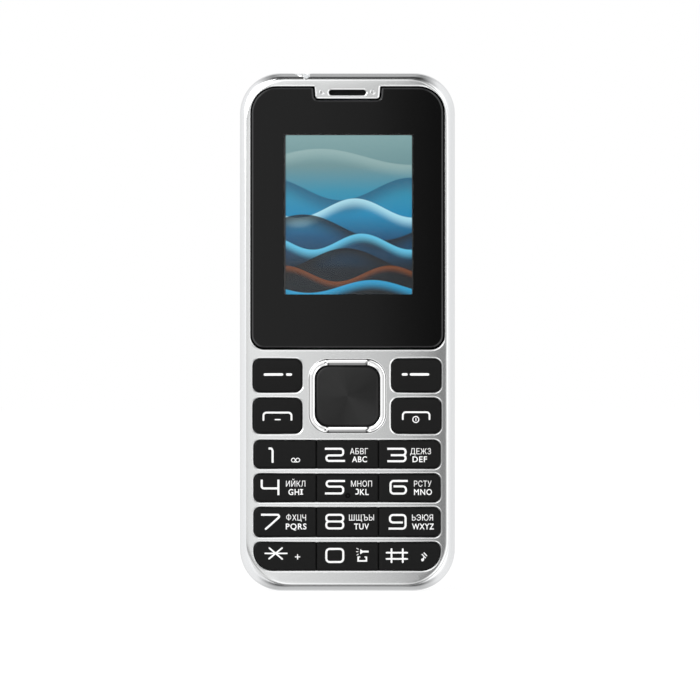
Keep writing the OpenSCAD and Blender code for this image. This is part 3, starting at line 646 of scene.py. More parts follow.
def edge_share(x, y):
    """How much of the plate's rolled edge is left: all at the ends, a little at the right, none at the left."""
    middle, plain, fade = 57.2, 46.5, 8  # the ends take over beyond the plain length, within the fade
    near_end = min(1.0, max(0.0, (abs(y - middle) - plain) / fade))
    side = 0.4 if x > 0 else 0.03
    return side + (1 - side) * near_end


def tabbed(box, radii, tab_half, tab_low, tab_corner, tab_top):
    """The window's outline with the plate's tab let into its top edge."""
    line = rounded(box, radii, 12, 8)
    high = box[3]
    ends = [p for p in line if not (abs(p[1] - high) < 1e-6 and abs(p[0]) < tab_half + 1.2)]
    after = next(i for i, p in enumerate(ends) if abs(p[1] - high) < 1e-6 and p[0] < 0)
    foot = tab_half - 0.2
    inner = fillet([(tab_half + 0.8, high), (tab_half, high), (foot, tab_low), (-foot, tab_low), (-tab_half, high),
                    (-tab_half - 0.8, high)], [0, tab_top, tab_corner, tab_corner, tab_top, 0], 8)
    return ends[:after] + inner + ends[after:]


pocket = tabbed([-21.42, 53.29, 21.5, 111.31], [3.1, 3.1, 5.8, 5.8], 7.22, TAB_LOW, 0.7, 0.25)
slot_line = rounded([-4.12, SLOT_MID - 0.62, 4.12, SLOT_MID + 0.6], 0.6, 10)
soft_boxes = {"soft_key_left": [-20.93, 43.85, -9.91, 51.35], "soft_key_right": [9.58, 43.85, 20.72, 51.35],
              "call_key": [-20.93, 34.75, -9.91, 42.7], "end_key": [9.58, 34.75, 20.72, 42.7]}
soft_lines = {name: rounded(box, 1.6, 10, 6, (0.05, 0.08)) for name, box in soft_boxes.items()}
ring_line = rounded([-8.46, 34.93, 8.46, 51.2], 4.3, 14, 8)


def row_corners(row):
    return [4.2, 4.2, 1.45, 1.45] if row == 0 else [1.45] * 4


row_boxes = [grown([KEY_LEFT, low, KEY_RIGHT, high], -ROW_TRIM) for low, high in ROWS]
openings = [rounded(box, row_corners(i), 10, 8) for i, box in enumerate(row_boxes)]
openings += [offset(line, -SOFT_TRIM) for line in soft_lines.values()]
openings += [ring_line, pocket, slot_line]
rolls = [0.36] * 8 + [0.16, 0.3, 0.24]  # widths of their gentle edges
plate_line = rounded(PLATE, PLATE_CORNERS, 16, 20)
shell = Shell()
RIM_WALL = 0.05  # steep part of an opening's edge
SIDE_WALL, SIDE_ROLL = 0.3, 0.42  # steep and gentle parts of the plate's own edge
SIDE_WIDTH = SIDE_WALL + SIDE_ROLL
SIDE_PART = 0.82  # most of a strip beside an opening that the plate's own edge may take
CREST_GAP = 0.01  # left between the two edges
SKIRT_LOW = 2.1  # lower end of the plate's wall
# where the strip beside an opening is narrow, its two edges share it and keep their slopes
side_shares = [min(1.0, SIDE_PART * min(distance(p, line) for line in openings) / SIDE_WIDTH) for p in plate_line]
side_crest = toward(plate_line, -SIDE_WIDTH, side_shares)
crests = []
for line, roll in zip(openings, rolls):
    width = RIM_WALL + roll
    shares = [min(1.0, (distance(p, side_crest) - CREST_GAP) / width) for p in line]
    crests.append(toward(line, width, shares))
    steps = [shell.ring(line[::-1], PLATE_UNDER)]
    for inset, drop in bevel((RIM_WALL, 60, 25), (roll, 17.5, 13)):
        points = toward(line, width, [s * inset / width for s in shares])
        steps.append(shell.ring(points[::-1], [face(*p) - drop * s for p, s in zip(points, shares)][::-1]))
    shell.bridge(*steps)
shell.fill(side_crest, crests, face, True, 1.4)
shell.fill(side_crest, openings, PLATE_UNDER, False)
edge = [shell.ring(side_crest, PLATE_UNDER), shell.ring(side_crest, SKIRT_LOW), shell.ring(plate_line, SKIRT_LOW)]
for inset, drop in bevel((SIDE_WALL, 32, 21), (SIDE_ROLL, 17, 5)):
    points = toward(plate_line, -SIDE_WIDTH, [s * inset / SIDE_WIDTH for s in side_shares])
    edge.append(shell.ring(points, [face(*p) - drop * s * edge_share(*p) for p, s in zip(points, side_shares)]))
shell.bridge(*edge)
front_plate = shell.made("front_plate_face")
CUPS = (-5.6, 5.6)  # two shallow cups beside the earpiece slot
seats = []
for side in CUPS:
    seat = Shell()
    seat.turn(side, SLOT_MID, 5.8, [(0.6, 0.0), (0.6, 1.0)], "z", 40)
    seats.append(seat)
cut(front_plate, *seats, torch_mouth(), torch_notch())
mount(front_plate, plate_finish, "housing", ["front_plate"], 8)

for side, name in zip(CUPS, ("left", "right")):
    shell = Shell()
    rim = [(0.59, -0.3), (0.59, 0.0), (0.565, 0.011), (0.53, 0.018), (0.495, 0.011), (0.46, 0.0)]
    bowl = [(r, 0.034 * (r * r / 0.21 - 1)) for r in (0.4, 0.3, 0.2, 0.1, 0.0)]
    shell.turn(side, SLOT_MID, face(side, 0), [(0.0, -0.3), *rim, *bowl], "z", 40)
    mount(shell.made("earpiece_cup_" + name, True), plate_finish, "housing")

# ---- the window, its black print and the lit panel

lens_line = tabbed([-21.14, 53.65, 21.14, 111.05], [2.9, 2.9, 5.55, 5.55], 7.55, TAB_LOW - 0.33, 1.05, 0.46)


def bulge(x, y=0.0):
    """The window's face, faintly arched from side to side."""
    return 6.55 - 0.32 * (x / 21.4) ** 2


shell = Shell()
outer_tape, inner_tape = offset(pocket, -0.01), offset(pocket, -0.24)
TAPE_TOP = 5.52
rings = [shell.ring(outer_tape, WINDOW_BACK), shell.ring(outer_tape, TAPE_TOP),
         shell.ring(inner_tape, TAPE_TOP), shell.ring(inner_tape, WINDOW_BACK)]
shell.bridge(*rings, rings[0])
mount(shell.made("window_tape"), mask_finish, "housing")

screen_line = rounded(SCREEN, 0.3, 5, 6)
LENS_BEVEL = 0.42
LENS_WALL = 0.1  # steep part of that bevel
HAIR = 0.004  # between pieces of the window that lie side by side
shell = Shell()
steps = [shell.ring(lens_line, WINDOW_BACK)]
for inset, drop in bevel((LENS_WALL, 75, 55), (LENS_BEVEL - LENS_WALL, 44, 34)):
    steps.append(shell.ring(offset(lens_line, -inset), lambda x, y, d=drop: bulge(x) - d))
steps.append(shell.ring(offset(lens_line, -LENS_BEVEL), WINDOW_BACK))
shell.bridge(*steps, steps[0])
mount(shell.made("display_window_edge"), edge_finish, "housing", (), 40)

shell = Shell()
print_line = offset(lens_line, -LENS_BEVEL - HAIR)
shell.bridge(shell.ring(print_line, WINDOW_BACK), shell.ring(print_line, bulge))
shell.fill(print_line, [screen_line], bulge, True, 2.0)
shell.bridge(shell.ring(screen_line[::-1], WINDOW_BACK), shell.ring(screen_line[::-1], bulge))
shell.fill(print_line, [screen_line], WINDOW_BACK, False)
mount(shell.made("display_window_surround"), printed_finish, "housing", ["display_window"], 40)

shell = Shell()
pane_line = offset(screen_line, -HAIR)
shell.bridge(shell.ring(pane_line, WINDOW_BACK), shell.ring(pane_line, bulge))
shell.fill(pane_line, [], bulge, True, 2.0)
shell.fill(pane_line, [], WINDOW_BACK, False)
pane = mount(shell.made("display_window_pane"), window_finish, "housing", (), 40)
pane.visible_shadow = False  # light reaches the panel behind it unbent

shell = Shell()
shell.prism(rounded([-13.6, 65.45, 14.2, 100.55], 0.25, 4), 5.165, 5.2)
mount(shell.made("display_picture"), picture_finish(), "housing")


# ---- keys


def key_shape(name, outline, top=KEY_TOP, round_by=0.3, foot=4.5):
    shell = Shell()
    steps = [shell.ring(outline, foot)]
    for inset, drop in rounding(round_by, round_by * 0.9, 5)[::-1]:
        steps.append(shell.ring(offset(outline, -inset), top - drop))
    shell.bridge(*steps)
    shell.cap(steps[0], False)
    shell.fill(offset(outline, -round_by), [], top)
    return shell.made(name)


key_lines = {}
KEY_INSET = ROW_TRIM + KEY_GAP
for name, line in soft_lines.items():
    key_lines[name] = offset(line, -SOFT_TRIM - KEY_GAP)
names = [["key_star", "key_0", "key_hash"], ["key_7", "key_8", "key_9"],
         ["key_4", "key_5", "key_6"], ["key_1", "key_2", "key_3"]]
SPLIT_CORNER = 0.34  # radius where two keys of a row face each other
for row in range(4):
    low, high = ROWS[row]
    corner = row_corners(row)
    for column in range(3):
        left = [KEY_LEFT + KEY_INSET, -SPLIT + SPLIT_GAP, SPLIT + SPLIT_GAP][column]
        right = [-SPLIT - SPLIT_GAP, SPLIT - SPLIT_GAP, KEY_RIGHT - KEY_INSET][column]
        outside = [column == 0, column == 2, column == 2, column == 0]
        radii = [r - KEY_INSET if out else SPLIT_CORNER for r, out in zip(corner, outside)]
        key_lines[names[row][column]] = rounded([left, low + KEY_INSET, right, high - KEY_INSET], radii, 10, 4)
NIB = spot(347.9, 495.3)
for name, line in key_lines.items():
    cap = key_shape(name + "_cap", line)
    if name == "key_5":
        groove = Shell()
        groove.turn(*NIB, KEY_TOP, [(0.22, -0.7), (0.57, -0.7), (0.59, 0.3), (0.22, 0.3)], "z", 32, True)
        cut(cap, groove)
    mount(cap, key_finish, name, [name])

# ---- four-way ring and select key

RING_X, RING_Y, RING_IN_X, RING_IN_Y = 8.34, 8.0, 7.26, 6.83
ring_outer = rounded([-RING_X, NAV_Y - RING_Y, RING_X, NAV_Y + RING_Y], 4.2, 18, 40)
ring_inner = rounded([-RING_IN_X, NAV_Y - RING_IN_Y, RING_IN_X, NAV_Y + RING_IN_Y], 3.0, 18, 40)
RING_FOOT = 4.2
BAR_HALF = 4.75
# share of the width and height; a bar from its upper edge down, the band elsewhere from outside in
BAR_FACETS = [(0.0, 6.72), (0.25, 6.79), (0.58, 6.8), (1.0, 6.54)]
BAND_FACETS = [(0.0, 6.68), (0.25, 6.765), (0.33, 6.775), (0.58, 6.775), (0.66, 6.765), (1.0, 6.655)]


def facet_height(facets, share):
    for (p, z), (q, w) in zip(facets, facets[1:]):
        if share <= q:
            return z + (w - z) * (share - p) / max(1e-6, q - p)


def ring_height(x, y, share):
    """Height of the ring's back across its width: a bar of three facets above and below, a ridge elsewhere."""
    band = facet_height(BAND_FACETS, share)
    to_end = BAR_HALF - abs(x)
    if to_end <= 0 or abs(y - NAV_Y) < 6:
        return band
    # the dark facet widens to a wedge at the ends
    narrow = min(1.0, to_end / 0.6)
    facets = [(p * narrow if 0 < p < 1 else p, z) for p, z in BAR_FACETS]
    bar = facet_height(facets, share if y > NAV_Y else 1 - share)
    return band + (bar - band) * min(1.0, to_end / 0.12)


shell = Shell()
steps = [shell.ring(ring_outer, RING_FOOT)]
for share in (0.0, 0.12, 0.25, 0.33, 0.42, 0.45, 0.5, 0.56, 0.58, 0.66, 0.75, 0.87, 1.0):
    line = between(ring_outer, ring_inner, share)
    steps.append(shell.ring(line, lambda x, y, s=share: ring_height(x, y, s)))
steps.append(shell.ring(ring_inner, RING_FOOT))
shell.bridge(*steps, steps[0])
nav_ring = mount(shell.made("nav_ring_chrome"), chrome_finish, "nav_ring", ["nav_ring"], 28)
for edge in nav_ring.data.edges:
    a, b = (i // len(ring_outer) for i in edge.vertices)
    edge.use_edge_sharp = a == b  # facets stay crisp along the ring

SELECT_TOP = 6.5
select_line = rounded([-6.98, NAV_Y - 6.68, 6.98, NAV_Y + 6.68], 2.9, 14, 8)
shell = Shell()
steps = [shell.ring(select_line, 4.5), shell.ring(select_line, 6.0)]
for inset, drop in ((0.06, 0.34), (0.16, 0.2), (0.28, 0.1), (0.42, 0.04), (0.6, 0.0)):
    steps.append(shell.ring(offset(select_line, -inset), SELECT_TOP - drop))
shell.bridge(*steps)
shell.cap(steps[0], False)
shell.fill(offset(select_line, -0.6), [], SELECT_TOP)
mount(shell.made("select_key_cap"), spun_finish_painted_highlight(), "select_key", ["select_key"])

# ---- printed legends

INK_LOW, INK_TOP = KEY_TOP - 0.02, KEY_TOP + 0.012


def mark(px, py):
    """A pixel of the photograph on the key tops, which stand nearer to the camera than the plane of the scale."""
    near = 1 - (KEY_TOP - SCALE_PLANE) * MM / DISTANCE
    return spot(PHOTO_MIDDLE + (px - PHOTO_MIDDLE) * near, PHOTO_MIDDLE + (py - PHOTO_MIDDLE) * near)


def stroke(points, width, bend=0.0, ends=False):
    """A printed stroke along pixels of the photograph; width and bend are in pixels too."""
    line = [mark(*p) for p in points]
    if bend:
        line = fillet(line, bend * PIXEL)
    return ribbon(line, width * PIXEL, ends)


def loop(left, top, right, low, width, bend, seam=0.5):
    """A closed rounded stroke, in two halves that overlap a little at a share of its width."""
    x = left + (right - left) * seam
    return [stroke([(x + lap, top), (side, top), (side, low), (x + lap, low)], width, bend)
            for side, lap in ((left, 0.3), (right, -0.3))]


def hoop(x, y, r, width):
    """A printed circle, in two halves."""
    x, y = mark(x, y)
    halves = []
    for start in (0, math.pi):
        turns = [start + math.pi * k / 12 for k in range(13)]
        arc = [(x + r * PIXEL * math.cos(t), y + r * PIXEL * math.sin(t)) for t in turns]
        halves.append(ribbon(arc, width * PIXEL))
    return halves


DIGIT = 2.0  # a little thinner than it looks: white spreads against black
signs = {
    "soft_key_left": [stroke([(264.9, 374.5), (282, 374.5)], 2.5, 0, True),
                      stroke([(287.3, 374.5), (290.8, 374.5)], 2.5, 0, True)],
    "soft_key_right": [stroke([(411, 374.4), (428, 374.4)], 2.5, 0, True),
                       stroke([(403, 374.4), (406.4, 374.4)], 2.5, 0, True)],
    "call_key": [stroke([(263.45, 420), (263.45, 412.6), (291.45, 412.6), (291.45, 419.8)], 1.8, 3.0, True),
                 stroke([(275.3, 419.6), (280.2, 419.6)], 1.2, 0, True)],
    "end_key": [stroke([(402.8, 419.2), (402.8, 412.2), (429.5, 412.2), (429.5, 419.2)], 1.7, 3.0, True),
                *hoop(415.8, 419.5, 3.0, 1.0), stroke([(415.9, 417.9), (415.9, 421.1)], 0.8)],
    "key_1": [stroke([(268.6, 448.5), (271.5, 448.5), (272.6, 450.6), (272.6, 462.8)], DIGIT, 1.2),
              *hoop(293.3, 460.1, 1.9, 0.8), *hoop(297.8, 460.1, 1.9, 0.8), stroke([(293.3, 462), (297.8, 462)], 0.7)],
    "key_2": [stroke([(324.9, 448.75), (343.2, 448.75), (343.2, 455.4), (326.4, 455.4), (326.4, 460.9), (345, 460.9)],
                     DIGIT, 2.6)],
    "key_3": [stroke([(387.3, 448.75), (405.6, 448.75), (405.6, 455.2), (390.8, 455.2)], DIGIT, 2.8),
              stroke([(390.8, 455.2), (405.6, 455.2), (405.6, 461.2), (387.3, 461.2)], DIGIT, 2.8)],
    "key_4": [stroke([(261.7, 479.7), (261.7, 488.4), (278.4, 488.4)], DIGIT, 2.2),
              stroke([(278.4, 479.7), (278.4, 495.1)], DIGIT),
              stroke([(301.5, 489.1), (301.5, 494.7)], 1.4), stroke([(299.9, 489.6), (303.1, 489.6)], 0.9),
              stroke([(299.9, 494.2), (303.1, 494.2)], 0.9)],
    "key_5": [stroke([(345, 481), (326.6, 481), (326.6, 486.6), (343.2, 486.6), (343.2, 493.45), (325, 493.45)],
                     DIGIT, 2.7),
              stroke([(356, 489.2), (358.3, 489.2), (358.3, 494), (355.4, 494)], 1.2, 1.3)],
    "key_6": [stroke([(407.7, 480.95), (390.5, 480.95), (390.5, 493.6), (406, 493.6), (406, 486.4), (393.6, 486.4)],
                     DIGIT, 3.2)],
    "key_7": [stroke([(261, 514.75), (278.3, 514.75), (279.4, 516.9), (265.2, 529.5)], DIGIT, 1.5),
              *hoop(288.7, 517.2, 2.2, 0.6), stroke([(288.7, 514), (288.7, 520.4)], 0.7)],
    "key_8": [*loop(326.3, 514.8, 343.25, 521.5, DIGIT, 2.9), *loop(326.3, 521.5, 343.25, 528.4, DIGIT, 2.9, 0.4)],
    "key_9": [stroke([(402.8, 522.5), (389.9, 522.5), (389.9, 515), (405.55, 515), (405.55, 528.6), (388.6, 528.6)],
                     DIGIT, 3.2)],
    "key_star": [stroke([(265.2, 553.4), (286.8, 553.4)], 1.5, 0, True),
                 stroke([(269.4, 548.1), (282.2, 559)], 1.6, 0, True),
                 stroke([(282.1, 548), (269.1, 558.7)], 1.6, 0, True),
                 stroke([(295, 556.9), (300.1, 556.9)], 1.0), stroke([(297.55, 554.3), (297.55, 559.5)], 1.0)],
    "key_0": [*loop(326.3, 548.9, 343.25, 562, DIGIT, 3.4),
              stroke([(358.2, 556.6), (358.2, 560.9), (366.4, 560.9), (366.4, 556.6)], 1.6),
              stroke([(358.2, 557), (360.2, 557)], 1.2), stroke([(364.6, 557), (366.4, 557)], 1.2),
              [mark(360.2, 549.1), mark(360.2, 554.3), mark(364, 551.9), mark(364, 551.5)],
              stroke([(363.3, 551.6), (368.6, 551.6)], 1.9),
              stroke([(356.6, 548.2), (358.5, 549.4)], 0.7), stroke([(356.2, 551.7), (358.4, 551.7)], 0.7),
              stroke([(356.6, 555.2), (358.5, 554)], 0.7)],
    "key_hash": [stroke([(386.6, 552.7), (407.2, 552.7)], 1.7, 0, True),
                 stroke([(386.6, 558.9), (407.2, 558.9)], 1.7, 0, True),
                 stroke([(391.5, 549.2), (391.5, 562.1)], 1.8, 0, True),
                 stroke([(402.8, 549.2), (402.8, 562.1)], 1.8, 0, True),
                 disc(*mark(422.6, 559.8), 1.45 * PIXEL), stroke([(423.7, 559.6), (423.7, 556)], 0.8),
                 stroke([(423.8, 552.6), (426.9, 556)], 1.1), stroke([(421.8, 554.1), (425.8, 558.2)], 1.0)],
}
# thin letters above, bold ones below: text, left, right, baseline, height of a capital;
# an I, a J and a round letter that the font draws otherwise are strokes above
THIN_ROWS = {"key_2": ("АБВГ", 350, 368, 454.2, 6.0), "key_3": ("ДЕЖЗ", 410.2, 431, 454.2, 6.0),
             "key_4": ("ИЙКЛ", 286, 305.3, 486.65, 6.0), "key_5": ("МНОП", 351, 372, 486.65, 6.0),
             "key_6": ("РСТУ", 414, 431.5, 486.65, 6.0), "key_7": ("ХЦЧ", 292.2, 306, 520.5, 6.0),
             "key_8": ("ШЩЪЫ", 349, 374, 520.5, 6.0), "key_9": ("ЬЭЮЯ", 412, 433, 520.5, 6.0)}
BOLD_ROWS = {"key_2": ("ABC", 352, 367, 462.05, 5.9), "key_3": ("DEF", 412.5, 427, 462.05, 5.9),
             "key_4": ("GH", 288.4, 299.2, 494.85, 6.0), "key_5": ("KL", 359.9, 368.7, 494.85, 6.0),
             "key_6": ("MNO", 414, 432, 494.85, 6.0), "key_7": ("PQRS", 285.8, 306.5, 529.3, 6.0),
             "key_8": ("TUV", 354, 369, 529.3, 6.0), "key_9": ("WXYZ", 412, 434, 529.3, 6.0)}
LETTERING = ((THIN_ROWS, 0.0, 1.04), (BOLD_ROWS, 0.017, 1.13))  # with their weight and spacing
CAPITAL = 0.728  # height of the built-in font's capitals at size 1


def enclosed(point, edges):
    """Whether outlines wind round a point."""
    turns = 0
    for a, b in edges:
        if (a.y <= point.y) != (b.y <= point.y):
            rising = b.y > a.y
            if ((b - a).cross(point - a) > 0) == rising:
                turns += 1 if rising else -1
    return turns != 0


def letters(row, weight, spacing):
    """A word as flat triangles, stretched to its place on the key."""
    text, left, right, baseline, height = row
    curve = bpy.data.curves.new("letters", "FONT")
    curve.body, curve.space_character, curve.resolution_u, curve.fill_mode = text, spacing, 4, "NONE"
    thing = bpy.data.objects.new("letters", curve)
    bpy.context.scene.collection.objects.link(thing)
    mesh = bpy.data.meshes.new_from_object(thing.evaluated_get(bpy.context.evaluated_depsgraph_get()))
    bpy.data.objects.remove(thing)
    # an edge back to the start of an outline ends it
    lines, start = [], 0
    for a, b in (edge.vertices for edge in mesh.edges):
        if b != a + 1:
            lines.append([(v.co.x, v.co.y) for v in mesh.vertices[start:a + 1]])
            start = a + 1
    turn = sum(Vector(p).cross(Vector(q)) for line in lines for p, q in zip(line, line[1:] + line[:1]))
    lines = [offset(line, math.copysign(weight, turn)) for line in lines]
    xs = [x for line in lines for x, _ in line]
    (x0, y0), (x1, _) = mark(left, baseline), mark(right, baseline)
    wide, tall = (x1 - x0) / (max(xs) - min(xs)), height * PIXEL / CAPITAL
    corners, sides = [], []
    for line in lines:
        first, count = len(corners), len(line)
        corners += [Vector((x0 + (x - min(xs)) * wide, y0 + y * tall)) for x, y in line]
        sides += [(first + i, first + (i + 1) % count) for i in range(count)]
    points, _, triangles, _, _, _ = delaunay_2d_cdt(corners, sides, [], 0, 1e-5)
    edges = [(corners[a], corners[b]) for a, b in sides]
    return points, [t for t in triangles if enclosed((points[t[0]] + points[t[1]] + points[t[2]]) / 3, edges)]


for name, polygons in signs.items():
    shell = Shell()
    shell.inlay(polygons, INK_LOW, INK_TOP)
    for rows, weight, spacing in LETTERING:
        if name in rows:
            shell.film(*letters(rows[name], weight, spacing), INK_LOW, INK_TOP)
    mount(shell.made(name + "_print"), ink_finish, name)

shell = Shell()
shell.turn(*NIB, KEY_TOP, [(0.215, -0.05), (0.215, 0.02), (0.18, 0.06), (0.1, 0.09), (0.0, 0.1)], "z", 24)
mount(shell.made("key_5_nib"), key_finish, "key_5")

# ---- back cover

shell = Shell()
COVER_BACK, COVER_INSIDE, COVER_EDGE = -6.7, -5.7, -3.35
COVER_ROUND, INNER_ROUND = 3.2, 2.2
WALL = 1.0


def cover_line(inset):
    return rounded(grown(BODY, -inset), [r - inset for r in BODY_CORNERS], 16, 6)


def cover_ring(inset, z):
    return shell.ring(cover_line(inset), z)


inner = [cover_ring(WALL, COVER_EDGE)]
inner += [cover_ring(WALL + i, COVER_INSIDE + d) for i, d in rounding(INNER_ROUND, INNER_ROUND, 8)[::-1]]
outer = [cover_ring(i, COVER_BACK + d) for i, d in rounding(COVER_ROUND, COVER_ROUND - 0.05, 12)]
outer += [cover_ring(0.0, COVER_EDGE - 0.05), cover_ring(0.06, COVER_EDGE)]
shell.bridge(*outer, inner[0])
shell.bridge(*inner)
shell.fill(cover_line(COVER_ROUND), [], COVER_BACK, False)
shell.fill(cover_line(WALL + INNER_ROUND), [], COVER_INSIDE, True)
back_cover = shell.made("back_cover_shell")
cutters = []
hole = Shell()
hole.turn(*CAMERA, COVER_BACK, [(4.5, -1), (4.5, 0.0), (4.26, 0.24), (4.26, 2.0)], "z", 64)
cutters.append(hole)
for k in range(5):
    slot = Shell()
    y = SPEAKER_Y + (k - 2) * 2.2
    slot.prism(rounded([-5.5, y - 0.55, 5.5, y + 0.55], 0.54, 8), -8, -5)
    cutters.append(slot)
notch = Shell()
notch.upright(rounded([-13, -4.3, -6, -2.9], 0.6, 6), -1, 0.9)
cutters.append(notch)
cut(back_cover, *cutters)
mount(back_cover, cover_finish, "back_cover", ["back_cover"])

# ---- camera, torch

shell = Shell()
shell.turn(*CAMERA, -6.9, [(4.2, 1.25), (4.2, 0.3), (4.13, 0.12), (3.95, 0.02), (3.7, 0.0), (3.4, 0.05), (3.18, 0.16),
                           (3.1, 0.3), (3.1, 0.72), (2.4, 0.72), (2.4, 1.25)], "z", 72, True)
mount(shell.made("camera_ring_trim", True), chrome_finish, "housing", ["camera_ring"])
shell = Shell()
shell.turn(*CAMERA, -6.7, [(0.0, 0.0), (2.9, 0.0), (3.04, 0.1), (3.04, 0.5), (0.0, 0.5)], "z", 64)
mount(shell.made("camera_glass_disc", True), camera_finish, "housing", ["camera_glass"])
shell = Shell()
shell.turn(*CAMERA, -6.1, [(1.1, 0.14), (1.2, 0.0), (2.37, 0.0), (2.37, 0.3), (1.1, 0.3)], "z", 48, True)
mount(shell.made("camera_iris", True), moulded_black, "housing")
shell = Shell()
shell.turn(*CAMERA, -5.95, [(0.0, -0.1), (0.5, -0.05), (0.9, 0.08), (1.08, 0.2), (0.0, 0.24)], "z", 40)
mount(shell.made("camera_eye", True), eye_finish, "housing")
shell = Shell()
shell.turn(TORCH_X, 111.54, TORCH_Z,
           [(0.0, 0.0), (1.9, 0.0), (1.95, 0.06), (1.95, 0.5), (1.62, 0.6), (1.62, 1.9), (1.56, 2.25),
            (1.4, 2.5), (1.0, 2.68), (0.5, 2.74), (0.0, 2.75)], "y", 48)
mount(shell.made("torch_lens_dome", True), torch_finish, "housing", ["torch_lens"])
mount(torch_notch(0.27, 2.9, 5.15, 113.95).made("torch_guide_tongue", True), torch_finish, "housing")
shell = Shell()
shell.turn(TORCH_X, 112.2, TORCH_Z,
           [(1.72, 0.0), (1.95, 0.0), (1.99, 0.1), (1.99, 1.45), (1.93, 1.6), (1.84, 1.62), (1.74, 1.4)], "y", 48, True)
mount(shell.made("torch_cup", True), chrome_finish, "housing")

# ---- woven wire behind the earpiece slot and the speaker slots, contacts in the charging port


def new_tree(name, **inputs):
    """A geometry tree with its inputs, each by name and kind, and one output."""
    tree = bpy.data.node_groups.new(name, "GeometryNodeTree")
    for key, kind in inputs.items():
        tree.interface.new_socket(key, in_out="INPUT", socket_type="NodeSocket" + kind)
    tree.interface.new_socket("Geometry", in_out="OUTPUT", socket_type="NodeSocketGeometry")
    return tree, add(tree, "NodeGroupInput").outputs


def weave_tree():
    """Two sets of swept wires that pass over and under each other, kept inside a circle."""
    tree, given = new_tree("woven_wire", Width="Float", Height="Float", Pitch="Float", Wire="Float", Reach="Float",
                           Place="Vector")
    place = add(tree, "GeometryNodeInputPosition").outputs[0]
    far = add(tree, "ShaderNodeVectorMath", {"operation": "LENGTH"}, {0: place})
    outside = add(tree, "ShaderNodeMath", {"operation": "GREATER_THAN"}, {0: far.outputs["Value"], 1: given["Reach"]})
    apart = add(tree, "ShaderNodeSeparateXYZ", None, {0: place})
    wave = given["Wire"]
    for axis in "XZ":
        turns = add(tree, "ShaderNodeMath", {"operation": "DIVIDE"}, {0: apart.outputs[axis], 1: given["Pitch"]})
        phase = add(tree, "ShaderNodeMath", {"operation": "MULTIPLY"}, {0: turns.outputs[0], 1: math.pi})
        swing = add(tree, "ShaderNodeMath", {"operation": "COSINE"}, {0: phase.outputs[0]})
        wave = add(tree, "ShaderNodeMath", {"operation": "MULTIPLY"}, {0: wave, 1: swing.outputs[0]}).outputs[0]
    joined = add(tree, "GeometryNodeJoinGeometry")
    for along, across, side in (("X", "Z", 1.0), ("Z", "X", -1.0)):
        length, spread = (given["Width"], given["Height"]) if along == "X" else (given["Height"], given["Width"])
        ends = []
        for axis, size, share in ((along, length, -0.5), (along, length, 0.5), (across, spread, -0.5)):
            part = add(tree, "ShaderNodeMath", {"operation": "MULTIPLY"}, {0: size, 1: share})
            ends.append(add(tree, "ShaderNodeCombineXYZ", None, {axis: part.outputs[0]}).outputs[0])
        wire = add(tree, "GeometryNodeCurvePrimitiveLine", None, {"Start": ends[0], "End": ends[1]})
        third = add(tree, "ShaderNodeMath", {"operation": "DIVIDE"}, {0: given["Pitch"], 1: 3.0})
        fine = add(tree, "GeometryNodeResampleCurve", {"mode": "LENGTH"},
                   {"Curve": wire.outputs[0], "Length": third.outputs[0]})
        spaces = add(tree, "ShaderNodeMath", {"operation": "DIVIDE"}, {0: spread, 1: given["Pitch"]})
        count = add(tree, "ShaderNodeMath", {"operation": "ADD"}, {0: spaces.outputs[0], 1: 1.01})
        step = add(tree, "ShaderNodeCombineXYZ", None, {across: given["Pitch"]})
        row = add(tree, "GeometryNodeMeshLine", {"mode": "OFFSET"},
                  {"Count": count.outputs[0], "Start Location": ends[2], "Offset": step.outputs[0]})
        wires = add(tree, "GeometryNodeInstanceOnPoints", None, {"Points": row.outputs[0], "Instance": fine.outputs[0]})
        real = add(tree, "GeometryNodeRealizeInstances", None, {0: wires.outputs[0]})
        trimmed = add(tree, "GeometryNodeDeleteGeometry", {"domain": "POINT"},
                      {0: real.outputs[0], 1: outside.outputs[0]})
        lift = add(tree, "ShaderNodeMath", {"operation": "MULTIPLY"}, {0: wave, 1: side})
        shift = add(tree, "ShaderNodeCombineXYZ", None, {"Y": lift.outputs[0]})
        bent = add(tree, "GeometryNodeSetPosition", None, {"Geometry": trimmed.outputs[0], "Offset": shift.outputs[0]})
        section = add(tree, "GeometryNodeCurvePrimitiveCircle", None, {"Resolution": 6, "Radius": given["Wire"]})
        swept = add(tree, "GeometryNodeCurveToMesh", None,
                    {"Curve": bent.outputs[0], "Profile Curve": section.outputs[0], "Fill Caps": True})
        tree.links.new(swept.outputs[0], joined.inputs[0])
    placed = add(tree, "GeometryNodeTransform", None, {"Geometry": joined.outputs[0], "Translation": given["Place"]})
    real = add(tree, "GeometryNodeRealizeInstances", None, {0: placed.outputs[0]})
    coated = add(tree, "GeometryNodeSetMaterial", None, {"Geometry": real.outputs[0], "Material": wire_finish})
    add(tree, "NodeGroupOutput", None, {0: coated.outputs[0]})
    return tree


